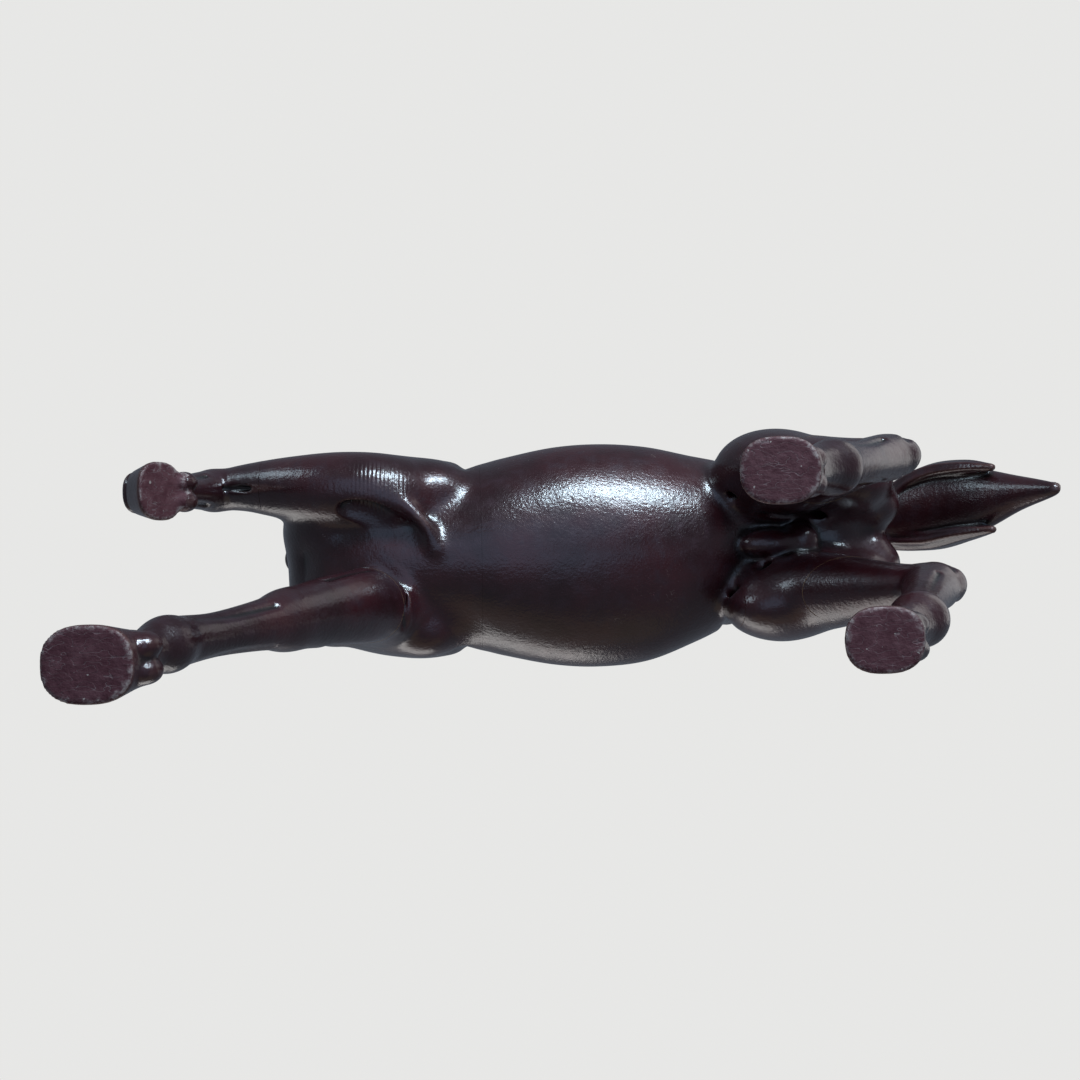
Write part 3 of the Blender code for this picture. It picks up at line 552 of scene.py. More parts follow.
def sculpt_joints_of_leg(sculpt, fetlock, coronet, heel_side):
    """The ball of a fetlock and the two bulbs of a heel, with the groove over the hoof."""
    fetlock, coronet = np.array(fetlock, float), np.array(coronet, float)
    sculpt.join(ellipsoid(fetlock + (-0.8, 0, -0.6), (4.3, 4.4, 4.2)), 2.2)
    heel = coronet + heel_side
    for side in (1, -1):
        sculpt.join(ellipsoid(heel + (0, side * 2.0, 0), (2.8, 2.3, 3.2)), 1.2)
    sculpt.carve(line([heel + (-2.9, 0, 2.0), heel + (-2.9, 0, -2.4)], 0.7), 0.9)


def coronet_groove(hoof_row, height):
    """A shallow ring round a hoof at a height over its sole."""
    centre, length, width, flex = hoof_row
    scale = 1 - HOOF_TAPER * height / HEIGHT_OF_HOOF
    ring = []
    for angle in np.linspace(0, 2 * math.pi, 15):
        forward = 0.5 * length * scale * math.cos(angle) - TOE_LEAN * height
        turn = math.radians(flex)
        x = forward * math.cos(turn) + height * math.sin(turn)
        z = -forward * math.sin(turn) + height * math.cos(turn)
        y = 0.5 * width * scale * math.sin(angle)
        ring.append((centre[0] + x, centre[1] + y, centre[2] + z, 0.5, 0.5))
    return sweep(ring, side=(0.1, 0.2, 1), pieces=3)


def sculpt_hooves(sculpt):
    for row in HOOVES.values():
        sculpt.join(hoof(row), 1.2)
        sculpt.carve(coronet_groove(row, CORONET_HEIGHT), 0.8)


def sculpt_planted_foreleg(sculpt):
    """The right foreleg, reaching forward to its planted hoof."""
    leg = [
        (55, -12.8, 106, 9.5, 12.0),
        (53, -12.0, 94, 9.4, 10.4),
        (54.5, -10.4, 83, 8.3, 7.8),
        (58, -10.0, 73, 8.5, 7.2),
        (62.5, -10.1, 63, 7.8, 6.5),
        (66.5, -10.4, 55, 6.9, 6.0),
        (70, -10.8, 48, 6.2, 5.5),
        (73.5, -11.2, 41, 5.1, 4.7),
        (80, -12.0, 30, 4.2, 4.3),
        (84.5, -12.4, 22.0, 4.6, 4.7),
        (86.0, -12.6, 18.0, 4.7, 4.9),
        (88.0, -13.1, 12.0, 3.5, 4.0),
        (89.8, -13.5, 8.0, 4.0, 4.5),
    ]
    sculpt.join(sweep(leg), 3, SOFT)
    sculpt_joints_of_leg(sculpt, (86.2, -12.6, 18.5), (88.2, -13.6, 5.2), (-2.4, 0, 0))
    sculpt.join(ellipsoid((70.6, -11.0, 49.0), (4.4, 5.0, 6.4), (0, -28, 0)), 3.0)
    for side in (1, -1):
        tendon = [
            (70.6, -11.7 + side * 4.2, 40),
            (76.4, -12.1 + side * 4.0, 31),
            (81.5, -12.6 + side * 4.4, 23),
        ]
        sculpt.carve(line(tendon, 0.8), 1.2)
        forearm = [
            (56, -10.2 + side * 8.6, 76),
            (59.5, -10.0 + side * 8.0, 68),
            (63.5, -10.4 + side * 7.0, 59),
        ]
        sculpt.carve(line(forearm, 0.5), 2.6)


def sculpt_armpits(sculpt):
    """The points of the elbows, and the sharp folds where the forelegs leave the chest."""
    sculpt.join(ellipsoid((44.5, -17.0, 95.5), (7.4, 6.2, 8.0), (0, 15, 0)), 2.0)
    sculpt.join(ellipsoid((41.5, 17.0, 97), (7.5, 6.0, 8.5), (0, 15, 0)), 3.0)
    right = [(62.0, -3.4, 76.0), (58.0, -3.2, 77.6), (54.5, -4.6, 78.8), (50.9, -6.8, 79.8)]
    sculpt.join(line(right, 1.0), 2.6)
    under = [(64, -0.4, 85), (58, 0.4, 83.0), (51.5, -2.8, 82.2), (47.2, -5.8, 82.6)]
    sculpt.carve(line(under, 2.7), 0.8)
    crease = [(48.4, -7.6, 81.4), (48.0, -12.0, 80.0), (47.6, -17.0, 82.5)]
    sculpt.carve(line(crease, 1.4), 0.8)
    left = [(61, 15.4, 86.4), (54, 14.6, 84.6), (47.8, 12.2, 83.4), (43.4, 8.0, 83.2), (41.0, 2.8, 84.0)]
    sculpt.join(line(left, 1.2), 4.0)
    sculpt.carve(ellipsoid((55.0, 8.4, 83.2), (9.0, 4.8, 3.0), (0, -4, 32)), 0.9)
    sculpt.carve(ellipsoid((48.2, 4.6, 82.4), (5.6, 4.0, 2.2), (0, -4, 52)), 0.9)
    groove = [(91.5, 17.6, 94.8), (84, 17.4, 92.0), (75, 17.2, 87.6)]
    sculpt.carve(line(groove, 0.7), 0.9)


def sculpt_raised_foreleg(sculpt):
    """The left foreleg, its forearm level and its cannon hanging from the bent knee."""
    leg = [
        (50, 14.0, 104, 9.5, 13.0),
        (53, 15.8, 94, 9.4, 12.0),
        (63, 16.8, 93, 9.0, 11.0),
        (75, 17.4, 95.5, 7.6, 8.8),
        (85, 17.9, 99.0, 5.9, 6.6),
        (92, 17.6, 101, 5.0, 5.4),
        (95.6, 17.2, 96, 4.7, 4.9),
        (97.4, 16.7, 87, 4.0, 4.2),
        (98.8, 16.3, 79.5, 4.1, 4.3),
        (100.2, 16.0, 74.5, 4.6, 4.9),
        (101.0, 15.7, 69.5, 3.8, 4.1),
        (101.4, 15.6, 66.0, 4.1, 4.4),
    ]
    sculpt.join(sweep(leg), 4, 0.9)
    sculpt_joints_of_leg(sculpt, (99.6, 16.1, 74.5), (95.6, 15.6, 67.0), (-2.0, 0, -0.4))
    sculpt.join(ellipsoid((94.2, 17.3, 99.5), (4.8, 4.7, 4.6), (0, 30, 0)), 2.0)
    for side in (1, -1):
        tendon = [
            (94.4, 17.0 + side * 3.4, 92),
            (95.4, 16.7 + side * 3.4, 85),
            (96.8, 16.4 + side * 3.8, 79),
        ]
        sculpt.carve(line(tendon, 0.7), 1.1)


def hind_leg(hip, hock, fetlock, hoof_centre):
    """Rows of a hind leg from the stifle down, through its hock and fetlock."""
    hip, hock, fetlock, hoof_centre = (np.array(p, float) for p in (hip, hock, fetlock, hoof_centre))
    coronet = hoof_centre + (-4.5, 0, 8)
    knee_to_hock = hock - hip
    shin = fetlock - hock
    ankle = coronet - fetlock
    return [
        (*hip, 10.5, 15.0),
        (*(hip + 0.3 * knee_to_hock), 9.0, 12.0),
        (*(hip + 0.62 * knee_to_hock), 6.6, 8.4),
        (*(hip + 0.85 * knee_to_hock), 5.2, 6.6),
        (*hock, 5.2, 6.4),
        (*(hock + 0.2 * shin), 4.8, 5.6),
        (*(hock + 0.5 * shin), 4.3, 4.5),
        (*(hock + 0.85 * shin), 4.7, 4.8),
        (*fetlock, 5.0, 5.3),
        (*(fetlock + 0.55 * ankle), 3.9, 4.2),
        (*coronet, 4.3, 4.8),
    ]


def sculpt_hind_legs(sculpt):
    """Both hind legs, set well under the body, with their pointed hocks."""
    left = hind_leg((-42, 18.5, 98), (-54.6, 20.2, 56), (-31, 16.2, 20), HOOVES["left_hind"][0])
    right = hind_leg((-47, -10.0, 98), (-64.2, -7.2, 56), (-46.4, -11.4, 20), HOOVES["right_hind"][0])
    for leg, point in ((left, (-58.4, 21.2, 61)), (right, (-67.4, -6.0, 61))):
        sculpt.join(sweep(leg), 5, SOFT)
        hock = np.array(leg[4][:3])
        calf = 0.45 * hock + 0.55 * np.array(leg[0][:3]) + (-6.5, 0, -1)
        waist = 0.35 * calf + 0.65 * np.array(point)
        tendon = [(*calf, 3.2, 3.4), (*waist, 2.2, 2.4), (*point, 2.7, 2.9)]
        sculpt.join(sweep(tendon), 3.5)
        heel = [(*point, 2.7, 2.9), (*(0.5 * hock + 0.5 * np.array(point) + (-1.5, 0, -4)), 3.0, 3.4)]
        sculpt.join(sweep(heel), 3.0)
        cap = np.array(point)
        sculpt.join(ellipsoid(cap + (0, 0, 0.6), (2.7, 2.8, 3.2), (0, 20, 0)), 0.8)
        notch = [cap + (2.6, -4.5, 3.2), cap + (3.0, 0, 4.6), cap + (2.6, 4.5, 3.2)]
        sculpt.carve(line(notch, 0.8), 0.9)
        fetlock = np.array(leg[8][:3])
        sculpt_joints_of_leg(sculpt, fetlock, np.array(leg[10][:3]) + (0.6, 0, -2.8), (-2.6, 0, 0))
        for side in (1, -1):
            shin = fetlock - hock
            hollow = on_side([(3.0, 5.0, 6), (-2.5, 4.6, 2), (-4.0, 3.6, -6)], side)
            sculpt.carve(line([hock + place for place in hollow], 0.9), 1.4)
            tendon = [hock + share * shin + (-2.4, side * 4.2, 0) for share in (0.25, 0.5, 0.78)]
            sculpt.carve(line(tendon, 0.8), 1.2)


def sculpt_neck(sculpt):
    """The arched neck, with the long groove under its muscle."""
    sculpt.join(sweep(NECK), 6, SOFT)
    for side in (1, -1):
        groove = [(66, 7.6, 186), (59.5, 8.6, 172), (62.5, 11.0, 156), (70.5, 13.0, 138)]
        sculpt.carve(line(on_side(groove, side), 1.1), 2.6)


def sculpt_head(sculpt):
    """The tucked, nearly upright head with its cheeks, eyes, nostrils, mouth and ears."""
    head = [
        (66, 0, 198, 6.8, 7.2),
        (70, 0, 190.5, 8.6, 10.2),
        (71.5, 0, 182, 8.0, 11.2),
        (73, 0, 172.5, 6.2, 9.0),
        (75, 0, 162, 5.2, 7.2),
        (76.5, 0, 152, 4.9, 6.3),
        (77.3, 0, 146.5, 4.8, 5.9),
    ]
    sculpt.join(sweep(head), 3, 0.8)
    left_and_right(sculpt, 3, (66.0, 4.8, 182.5), (8.4, 4.2, 9.8), (0, 20, 0))
    left_and_right(sculpt, 2, (77.5, 6.0, 188.0), (3.6, 2.6, 3.2), (0, -30, 0))
    left_and_right(sculpt, 2, (80.3, 3.2, 149.0), (2.8, 2.4, 3.6), (0, -12, 0))
    sculpt.join(ellipsoid((74.8, 0, 142.4), (4.8, 4.2, 3.2), (0, 8, 0)), 1.6)
    sculpt.join(ellipsoid((80.8, 0, 143.4), (3.4, 4.1, 3.2)), 1.6)
    for side in (1, -1):
        sculpt_face(sculpt, side)
        sculpt_ear(sculpt, side)


def sculpt_face(sculpt, side):
    """One side's eye between its lids, its cheek line, nostril and corner of the mouth."""
    socket = mirrored((77.2, 8.3, 187.4), side)
    sculpt.carve(ellipsoid(socket, (3.0, 1.5, 1.9), (0, 25, 0)), 0.9)
    sculpt.join(ellipsoid(mirrored((76.9, 6.9, 187.5), side), (2.0, 1.5, 1.6)), 0.2)
    upper = [(74.0, 7.6, 187.3), (75.6, 8.5, 189.4), (77.6, 8.3, 189.9), (79.6, 7.0, 188.2)]
    lower = [(74.2, 7.7, 186.8), (75.9, 8.2, 185.7), (77.8, 7.9, 185.7), (79.5, 6.9, 187.2)]
    brow = [(73.2, 7.4, 190.4), (75.6, 8.3, 192.2), (78.6, 7.5, 191.6)]
    for lid, radius in ((upper, 0.7), (lower, 0.5), (brow, 0.8)):
        sculpt.join(line(on_side(lid, side), radius), 0.5)
    nostril = [(82.0, 3.9, 151.4), (82.3, 4.9, 148.8), (80.9, 5.0, 146.9)]
    sculpt.carve(line(on_side(nostril, side), 1.15), 0.6)
    rim = [(81.0, 4.6, 152.6), (80.2, 5.5, 149.8), (79.4, 5.3, 147.0)]
    sculpt.join(line(on_side(rim, side), 0.7), 0.7)
    mouth = [(84.0, 1.2, 144.9), (81.8, 3.9, 145.2), (76.4, 4.7, 147.6)]
    sculpt.carve(line(on_side(mouth, side), 0.6), 0.5)
    cheek = [(63.2, 6.4, 192), (58.6, 7.0, 184), (61.0, 6.4, 175.5), (67.4, 6.0, 171.6), (73.5, 5.6, 175)]
    sculpt.carve(line(on_side(cheek, side), 0.8), 1.3)
    ridge = [(74.8, 6.6, 183), (76.4, 5.7, 174), (78.0, 4.8, 163)]
    sculpt.join(line(on_side(ridge, side), 0.8), 1.6)


def sculpt_ear(sculpt, side):
    """A pricked ear with its hollow turned forward and out."""
    ear = [
        (62, 4.6, 203, 2.4, 2.6),
        (62.5, 5.4, 209, 2.6, 2.9),
        (64.0, 5.8, 215, 1.7, 1.8),
        (65.3, 5.6, 219.5, 0.9, 0.9),
    ]
    sculpt.join(sweep(on_side(ear, side)), 1.5)
    hollow = [(64.6, 6.8, 205.5), (65.0, 7.6, 210), (65.6, 6.9, 214.5), (66.2, 6.1, 217.5)]
    sculpt.carve(line(on_side(hollow, side), 1.25), 0.5)


def neck_side(x, z):
    """How far the neck's skin stands out from the middle, to the side of x and z."""
    rows = np.array(NECK)
    middle, half_width, half_depth = (np.interp(z, rows[:, 2], rows[:, i]) for i in (0, 3, 4))
    off = min(abs(x - middle) / half_depth, 0.97)
    return half_width * math.sqrt(1 - off**2)


def sculpt_mane(sculpt):
    """Thick locks from the crest that lie back over the right side of the neck, and a forelock."""
    sculpt.join(sweep([(*place, 3.0, 3.2) for place in CREST], strands=9, groove=0.06), 3)
    roots = curve_through(CREST, 3)[2:-1:2]
    for number, (x, _, z) in enumerate(roots):
        share = number / (len(roots) - 1)
        length = 34 - 20 * share + 3 * math.sin(2.3 * number)
        swing = 1.5 * math.sin(1.7 * number + 1.0)
        lift = 1.3 + 0.4 * math.sin(2.9 * number)
        lock = [(x, 0.5, z + 0.5, 2.8, 4.4)]
        shape = [
            (0.15, 0.6, 2.4, 5.0),
            (0.42, 2.0, 2.3, 4.8),
            (0.74, 0.5 + swing, 1.9, 3.6),
            (1.0, swing - 3.5, 1.2, 1.3),
        ]
        for fall, drift, thick, broad in shape:
            place = x + drift, z - fall * length
            lock.append((place[0], -neck_side(*place) - lift, place[1], thick, broad))
        sculpt.join(sweep(lock, side=(0.2, 1, 0.4), strands=13, groove=0.085), 0.7)
    for y, drop in ((-1.8, 16), (1.6, 13)):
        lock = [
            (65, 0.4 * y, 206.5, 2.4, 2.6),
            (71.5, 0.8 * y, 204.0, 2.2, 3.0),
            (77.0, y, 197, 1.8, 2.6),
            (79.6, 1.3 * y, 206.5 - drop, 1.0, 1.1),
        ]
        sculpt.join(sweep(lock, side=(1, 0, 0.6), strands=7, groove=0.09), 0.6)


def sculpt_tail(sculpt):
    """The tail, lifted and carried to the left, in one broad mass with pointed locks."""
    mass = [
        (-66, 4.5, 136, 5.0, 6.0),
        (-78, 5.2, 142, 4.6, 5.4),
        (-88, 8.0, 142, 7.4, 6.4),
        (-97, 11.0, 134, 10.8, 7.0),
        (-104, 12.8, 122, 9.2, 6.0),
        (-110.5, 14.2, 111, 5.0, 4.2),
        (-116, 14.8, 100, 2.0, 1.9),
    ]
    sculpt.join(sweep(mass), 3, SOFT)
    for side in (1, -1):
        lock = [
            (-80, 5.6 + 1.5 * side, 143, 3.0, 4.0),
            (-90, 9.0 + 6.3 * side, 141, 3.4, 5.2),
            (-97, 11.4 + 9.0 * side, 132, 3.0, 5.6),
            (-101.5, 12.8 + 8.8 * side, 121, 2.2, 4.0),
            (-104.5, 13.0 + 8.2 * side, 112, 1.0, 1.3),
        ]
        sculpt.join(sweep(lock, strands=7, groove=0.05), 1.4)
    back = [
        (-82, 6.0, 146, 3.6, 2.6),
        (-94, 10.0, 142, 5.4, 3.2),
        (-106, 13.4, 129, 5.0, 3.0),
        (-113.5, 15.0, 116, 3.2, 2.4),
        (-117.5, 15.2, 104, 1.5, 1.5),
    ]
    sculpt.join(sweep(back, strands=11, groove=0.08), 0.8)


def sculpt_horse(low, high, step):
    """The skin inside a box."""
    sculpt = Sculpt(low, high, step)
    sculpt_body(sculpt)
    sculpt_planted_foreleg(sculpt)
    sculpt_raised_foreleg(sculpt)
    sculpt_hind_legs(sculpt)
    sculpt_hooves(sculpt)
    sculpt_armpits(sculpt)
    sculpt_body_folds(sculpt)
    sculpt_neck(sculpt)
    sculpt_head(sculpt)
    sculpt_mane(sculpt)
    sculpt_tail(sculpt)
    return sculpt


# ---- sawing the skin into castings ----
def packed_shift():
    """From the sculptor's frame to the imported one, in millimetres: the sleeves and dowels are in both."""
    sleeve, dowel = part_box("front_sleeve"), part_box("head_dowel")
    x = 0.5 * (sleeve[0].x + sleeve[1].x) / MM - FORE_JOINT_X
    y = 0.5 * (dowel[0].y + dowel[1].y) / MM
    return np.array([x, y, 0.0])


SHIFT = packed_shift()


def mesh_of(name, points, faces):
    """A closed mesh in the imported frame, facing out, from points in the sculptor's frame."""
    mesh = bpy.data.meshes.new(name)
    places = (np.array(points) + SHIFT) * MM
    mesh.from_pydata(places.tolist(), [], [list(map(int, face)) for face in faces])
    work = bmesh.new()
    work.from_mesh(mesh)
    bmesh.ops.recalc_face_normals(work, faces=work.faces)
    work.to_mesh(mesh)
    work.free()
    return mesh


def placed(name, data):
    """A new object in the scene."""
    obj = bpy.data.objects.new(name, data)
    bpy.context.collection.objects.link(obj)
    return obj


def helper(name, points, faces):
    """A cutter, which stays out of the picture."""
    obj = placed(name, mesh_of(name, points, faces))
    obj.hide_render = True
    obj.display_type = "WIRE"
    return obj


def prism(name, outline, low_y=-REACH, high_y=REACH):
    """A solid of an outline in X and Z, between two values of Y."""
    count = len(outline)
    points = [(x, y, z) for y in (low_y, high_y) for x, z in outline]
    faces = [range(count), range(2 * count - 1, count - 1, -1)]
    faces += [(i, i + count, (i + 1) % count + count, (i + 1) % count) for i in range(count)]
    return helper(name, points, faces)


def slab(name, low, high):
    """A box-shaped cutter."""
    outline = [(low[0], low[2]), (low[0], high[2]), (high[0], high[2]), (high[0], low[2])]
    return prism(name, outline, low[1], high[1])


def shifted(outline, x, z):
    return [(point[0] + x, point[1] + z) for point in outline]


def skinned(rings):
    """Points and faces of a capped skin through rings."""
    sides = len(rings[0])
    count = len(rings)
    faces = []
    for i in range(count - 1):
        for j in range(sides):
            here, ahead, side = i * sides, (i + 1) * sides, (j + 1) % sides
            faces.append((here + j, here + side, ahead + side, ahead + j))
    faces += [range(sides - 1, -1, -1), range((count - 1) * sides, count * sides)]
    return np.vstack(rings), faces


def casting_core():
    """The space that the casting core leaves in the trunk."""
    half = 0.5 * SLEEVE_LENGTH
    sleeve_ends = [x + end for x in (REAR_JOINT_X, FORE_JOINT_X) for end in (-half, half)]
    angles = np.linspace(0, 2 * math.pi, CORE_SIDES, endpoint=False)
    rings = []
    for x in sorted([*CORE_STATIONS, *sleeve_ends]):
        centre, top, bottom, half_width, widest = trunk_section(x, WALL)
        heights = np.where(np.sin(angles) > 0, top - widest, widest - bottom)
        ys, zs = centre + half_width * np.cos(angles), widest + heights * np.sin(angles)
        rings.append(np.stack([np.full(CORE_SIDES, x), ys, zs], axis=1))
    return helper("casting_core", *skinned(rings))


def rod(name, start, end, start_radius, end_radius, sides=20):
    """A round cutter between two points."""
    start, end = Vector(start), Vector(end)
    turn = (end - start).to_track_quat("Z", "Y").to_matrix()
    rings = []
    angles = [2 * math.pi * i / sides for i in range(sides)]
    for place, radius in ((start, start_radius), (end, end_radius)):
        spokes = [Vector((radius * math.cos(angle), radius * math.sin(angle), 0)) for angle in angles]
        rings.append(np.array([place + turn @ spoke for spoke in spokes]))
    return helper(name, *skinned(rings))


def dowel_hole(name):
    start, end, radius = DOWELS[name]
    start, end = Vector(start), Vector(end)
    more = (end - start).normalized() * GAP
    return rod(name + "_hole", start - more, end + more, radius + GAP, radius + GAP, 16)


def casting_regions():
    """Each casting's region of the skin, and the cutters taken out of it."""
    half = 0.5 * HAIRLINE
    leg_top, body_bottom = LEG_JOINT_Z - half, LEG_JOINT_Z + half
    holes = {name: dowel_hole(name) for name in DOWELS}
    core = casting_core()
    (bore_x, bore_y, bore_z, bore_wide), (tip_x, tip_y, tip_z, bore_narrow) = NECK_BORE
    neck_bore = rod("neck_bore", (bore_x, bore_y, bore_z), (tip_x, tip_y, tip_z), bore_wide, bore_narrow)
    right_leg = slab("right_leg_space", (0, -REACH, FLOOR_Z), (REACH, 0, leg_top))
    raised_high = (REACH, REACH, RAISED_LEG_ROOF)
    raised_leg = slab("raised_leg_space", (RAISED_JOINT_X + half, 0, FLOOR_Z), raised_high)
    raised_cut = slab("raised_leg_cut", (RAISED_JOINT_X - half, 0, FLOOR_Z), raised_high)
    left_hind = slab("left_hind_space", (-REACH, BETWEEN_HIND_LEGS_Y, FLOOR_Z), (0, REACH, leg_top))
    right_hind = slab("right_hind_space", (-REACH, -REACH, FLOOR_Z), (0, BETWEEN_HIND_LEGS_Y, leg_top))
    front = slab("front_space", (FORE_JOINT_X + half, -REACH, body_bottom), (REACH, REACH, ROOF_Z))
    barrel_low = (REAR_JOINT_X + half, -REACH, body_bottom)
    middle = slab("barrel_space", barrel_low, (FORE_JOINT_X - half, REACH, WITHERS_Z - half))
    rear = slab("rear_space", (-REACH, -REACH, body_bottom), (REAR_JOINT_X - half, REACH, ROOF_Z))
    neck_edge = NECK_JOINT + [(REACH, 112), (REACH, ROOF_Z), (0, ROOF_Z), (0, WITHERS_Z)]
    neck = prism("neck_space", shifted(neck_edge, half, half))
    neck_cut = prism("neck_cut", shifted(neck_edge, -half, -half))
    head_edge = HEAD_JOINT + [(REACH, 130), (REACH, 230)]
    head = prism("head_space", shifted(head_edge, half, 0))
    head_cut = prism("head_cut", shifted(head_edge, -half, 0))
    tail_edge = TAIL_JOINT + [(-REACH, 80), (-REACH, 175)]
    tail = prism("tail_space", shifted(tail_edge, -half, 0))
    tail_cut = prism("tail_cut", shifted(tail_edge, half, 0))
    neck_pins = [holes["left_neck_pin"], holes["right_neck_pin"]]
    fore_pins = [holes["right_fore_dowel"], holes["left_fore_dowel"]]
    hind_pins = [holes["right_hind_dowel"], holes["left_hind_dowel"], holes["tail_dowel"]]
    return {
        "barrel_casting": (middle, [core]),
        "forequarter_casting": (front, [neck_cut, raised_cut, core, neck_bore] + neck_pins + fore_pins),
        "hindquarter_casting": (rear, [tail_cut, core] + hind_pins),
        "neck_casting": (neck, [head_cut, core, neck_bore, holes["head_dowel"]] + neck_pins),
        "head_casting": (head, [holes["head_dowel"]]),
        "tail_casting": (tail, [holes["tail_dowel"]]),
        "right_foreleg_casting": (right_leg, [holes["right_fore_dowel"]]),
        "left_foreleg_casting": (raised_leg, [holes["left_fore_dowel"]]),
        "right_hindleg_casting": (right_hind, [holes["right_hind_dowel"]]),
        "left_hindleg_casting": (left_hind, [holes["left_hind_dowel"]]),
    }


def sawn(name, skin, region, cuts):
    """The mesh of a skin inside a region, less its cuts."""
    blank = placed(name + "_blank", skin)
    blank.hide_render = True
    for operation, other in [("INTERSECT", region)] + [("DIFFERENCE", cut) for cut in cuts]:
        step = blank.modifiers.new(other.name, "BOOLEAN")
        step.operation = operation
        step.object = other
        step.solver = "MANIFOLD"
    graph = bpy.context.evaluated_depsgraph_get()
    mesh = bpy.data.meshes.new_from_object(blank.evaluated_get(graph))
    bpy.data.objects.remove(blank)
    return mesh


def smooth_step(value, low, high):
    share = np.clip((value - low) / (high - low), 0, 1)
    return share * share * (3 - 2 * share)


def store(mesh, name, values):
    layer = mesh.attributes.new(name, "FLOAT", "POINT")
    layer.data.foreach_set("value", np.ascontiguousarray(values, np.float32))


def places_of(elements, name):
    """Where a mesh's points or faces are, in the sculptor's frame."""
    values = np.zeros(3 * len(elements), np.float32)
    elements.foreach_get(name, values)
    return values.reshape(-1, 3).astype(float) / MM - SHIFT


def mark_surface(mesh, sculpt):
    """Stores what the patina and its painted shade depend on: edges, hollows, soles, their rims, and the sawn
    faces.
    """
    points = places_of(mesh.vertices, "co")
    _, _, curve = sculpt.slope(points, CURVE_REACH)
    store(mesh, "edge", curve)
    sole = np.zeros(len(points))
    rim = np.zeros(len(points))
    for row in HOOVES.values():
        ratio, _, up = hoof_place(row, *points.T)
        near = smooth_step(up, *SOLE_FADE) * (ratio < SOLE_OUT) * (up > SOLE_LOW)
        rim = np.where(near > sole, ratio, rim)
        sole = np.maximum(sole, near)
    store(mesh, "sole", sole)
    store(mesh, "rim", rim)
    inner = sculpt.sample(places_of(mesh.polygons, "center")) < -SAWN_DEPTH
    mesh.polygons.foreach_set("material_index", inner.astype(np.int32))


def cast(name, region, cuts, materials):
    """One fine casting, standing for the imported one."""
    low, high = (np.array(corner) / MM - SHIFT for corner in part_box(name))
    step = VOXELS[name] * 1
    sculpt = sculpt_horse(low - MARGIN, high + MARGIN, step)
    mesh = sawn(name, mesh_of(name + "_skin", *sculpt.surface()), region, cuts)
    mesh.name = name + "_fine"
    mesh.materials.clear()
    for material in materials:
        mesh.materials.append(material)
    mark_surface(mesh, sculpt)
    mesh.shade_smooth()
    mesh.set_sharp_from_angle(angle=math.radians(SHARP_ANGLE))
    piece = placed(name + "_fine", mesh)
    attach(piece, "root")
    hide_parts(name)


# ---- materials ----
def feed(tree, made, inputs):
    """Links each of a node's inputs to a socket, or sets it to a value."""
    for name, value in inputs.items():
        if isinstance(value, bpy.types.NodeSocket):
            tree.links.new(value, made.inputs[name])
        else:
            made.inputs[name].default_value = value


def node(tree, kind, inputs=None, **settings):
    """A new node with its settings and inputs."""
    made = tree.nodes.new("ShaderNode" + kind)
    for name, value in settings.items():
        setattr(made, name, value)
    feed(tree, made, inputs or {})
    return made


def maths(tree, operation, first, second=0.0, clamp=False):
    return node(tree, "Math", {0: first, 1: second}, operation=operation, use_clamp=clamp).outputs[0]


def times(tree, first, second):
    return maths(tree, "MULTIPLY", first, second)


def between(tree, value, low, high):
    """How far a value has come from low to high, eased at both ends."""
    inputs = {"Value": value, "From Min": low, "From Max": high}
    return node(tree, "MapRange", inputs, interpolation_type="SMOOTHSTEP").outputs[0]


def stretched(tree, value, low, high, to_low, to_high):
    """A value's straight way from low to high, laid between two others."""
    inputs = {"Value": value, "From Min": low, "From Max": high, "To Min": to_low, "To Max": to_high}
    return node(tree, "MapRange", inputs).outputs[0]


def mixed(tree, share, first, second):
    """A colour between two, each a socket or three numbers."""
    inputs = {0: share}
    for place, colour in ((6, first), (7, second)):
        inputs[place] = colour if isinstance(colour, bpy.types.NodeSocket) else (*colour, 1)
    return node(tree, "Mix", inputs, data_type="RGBA").outputs[2]


def noise(tree, vector, scale, detail=3.0, roughness=0.55, stretch=None):
    """Noise with so many cells to a millimetre, which may be stretched along an axis."""
    if stretch:
        vector = node(tree, "VectorMath", {0: vector, 1: stretch}, operation="MULTIPLY").outputs[0]
    inputs = {"Vector": vector, "Scale": scale, "Detail": detail, "Roughness": roughness}
    return node(tree, "TexNoise", inputs).outputs[0]


def millimetres(tree):
    """The place on the statuette, in millimetres."""
    place = node(tree, "TexCoord").outputs["Object"]
    return node(tree, "VectorMath", {0: place, "Scale": 1 / MM}, operation="SCALE").outputs[0]


def attribute(tree, name):
    return node(tree, "Attribute", attribute_name=name).outputs["Fac"]


def new_material(name):
    material = bpy.data.materials.new(name)
    material.use_nodes = True
    tree = material.node_tree
    return material, tree, tree.nodes["Principled BSDF"]


def relief(tree, height):
    """The normal over a height in millimetres."""
    return node(tree, "Bump", {"Height": height, "Distance": MM, "Strength": 1.0}).outputs[0]


def thin_lines(tree, vector, scale, width, stretch=None):
    """Thin meandering lines where a soft noise crosses its middle."""
    wave = noise(tree, vector, scale, 1.0, 0.4, stretch)
    off = maths(tree, "ABSOLUTE", maths(tree, "SUBTRACT", wave, 0.5))
    return between(tree, off, width, 0.3 * width)


def near_place(tree, vector, place, reach):
    """One near a place in the sculptor's frame, and nothing beyond its reach."""
    centre = tuple(np.array(place, float) + SHIFT)
    far = node(tree, "VectorMath", {0: vector, 1: centre}, operation="DISTANCE").outputs["Value"]
    return between(tree, far, reach, 0.4 * reach)


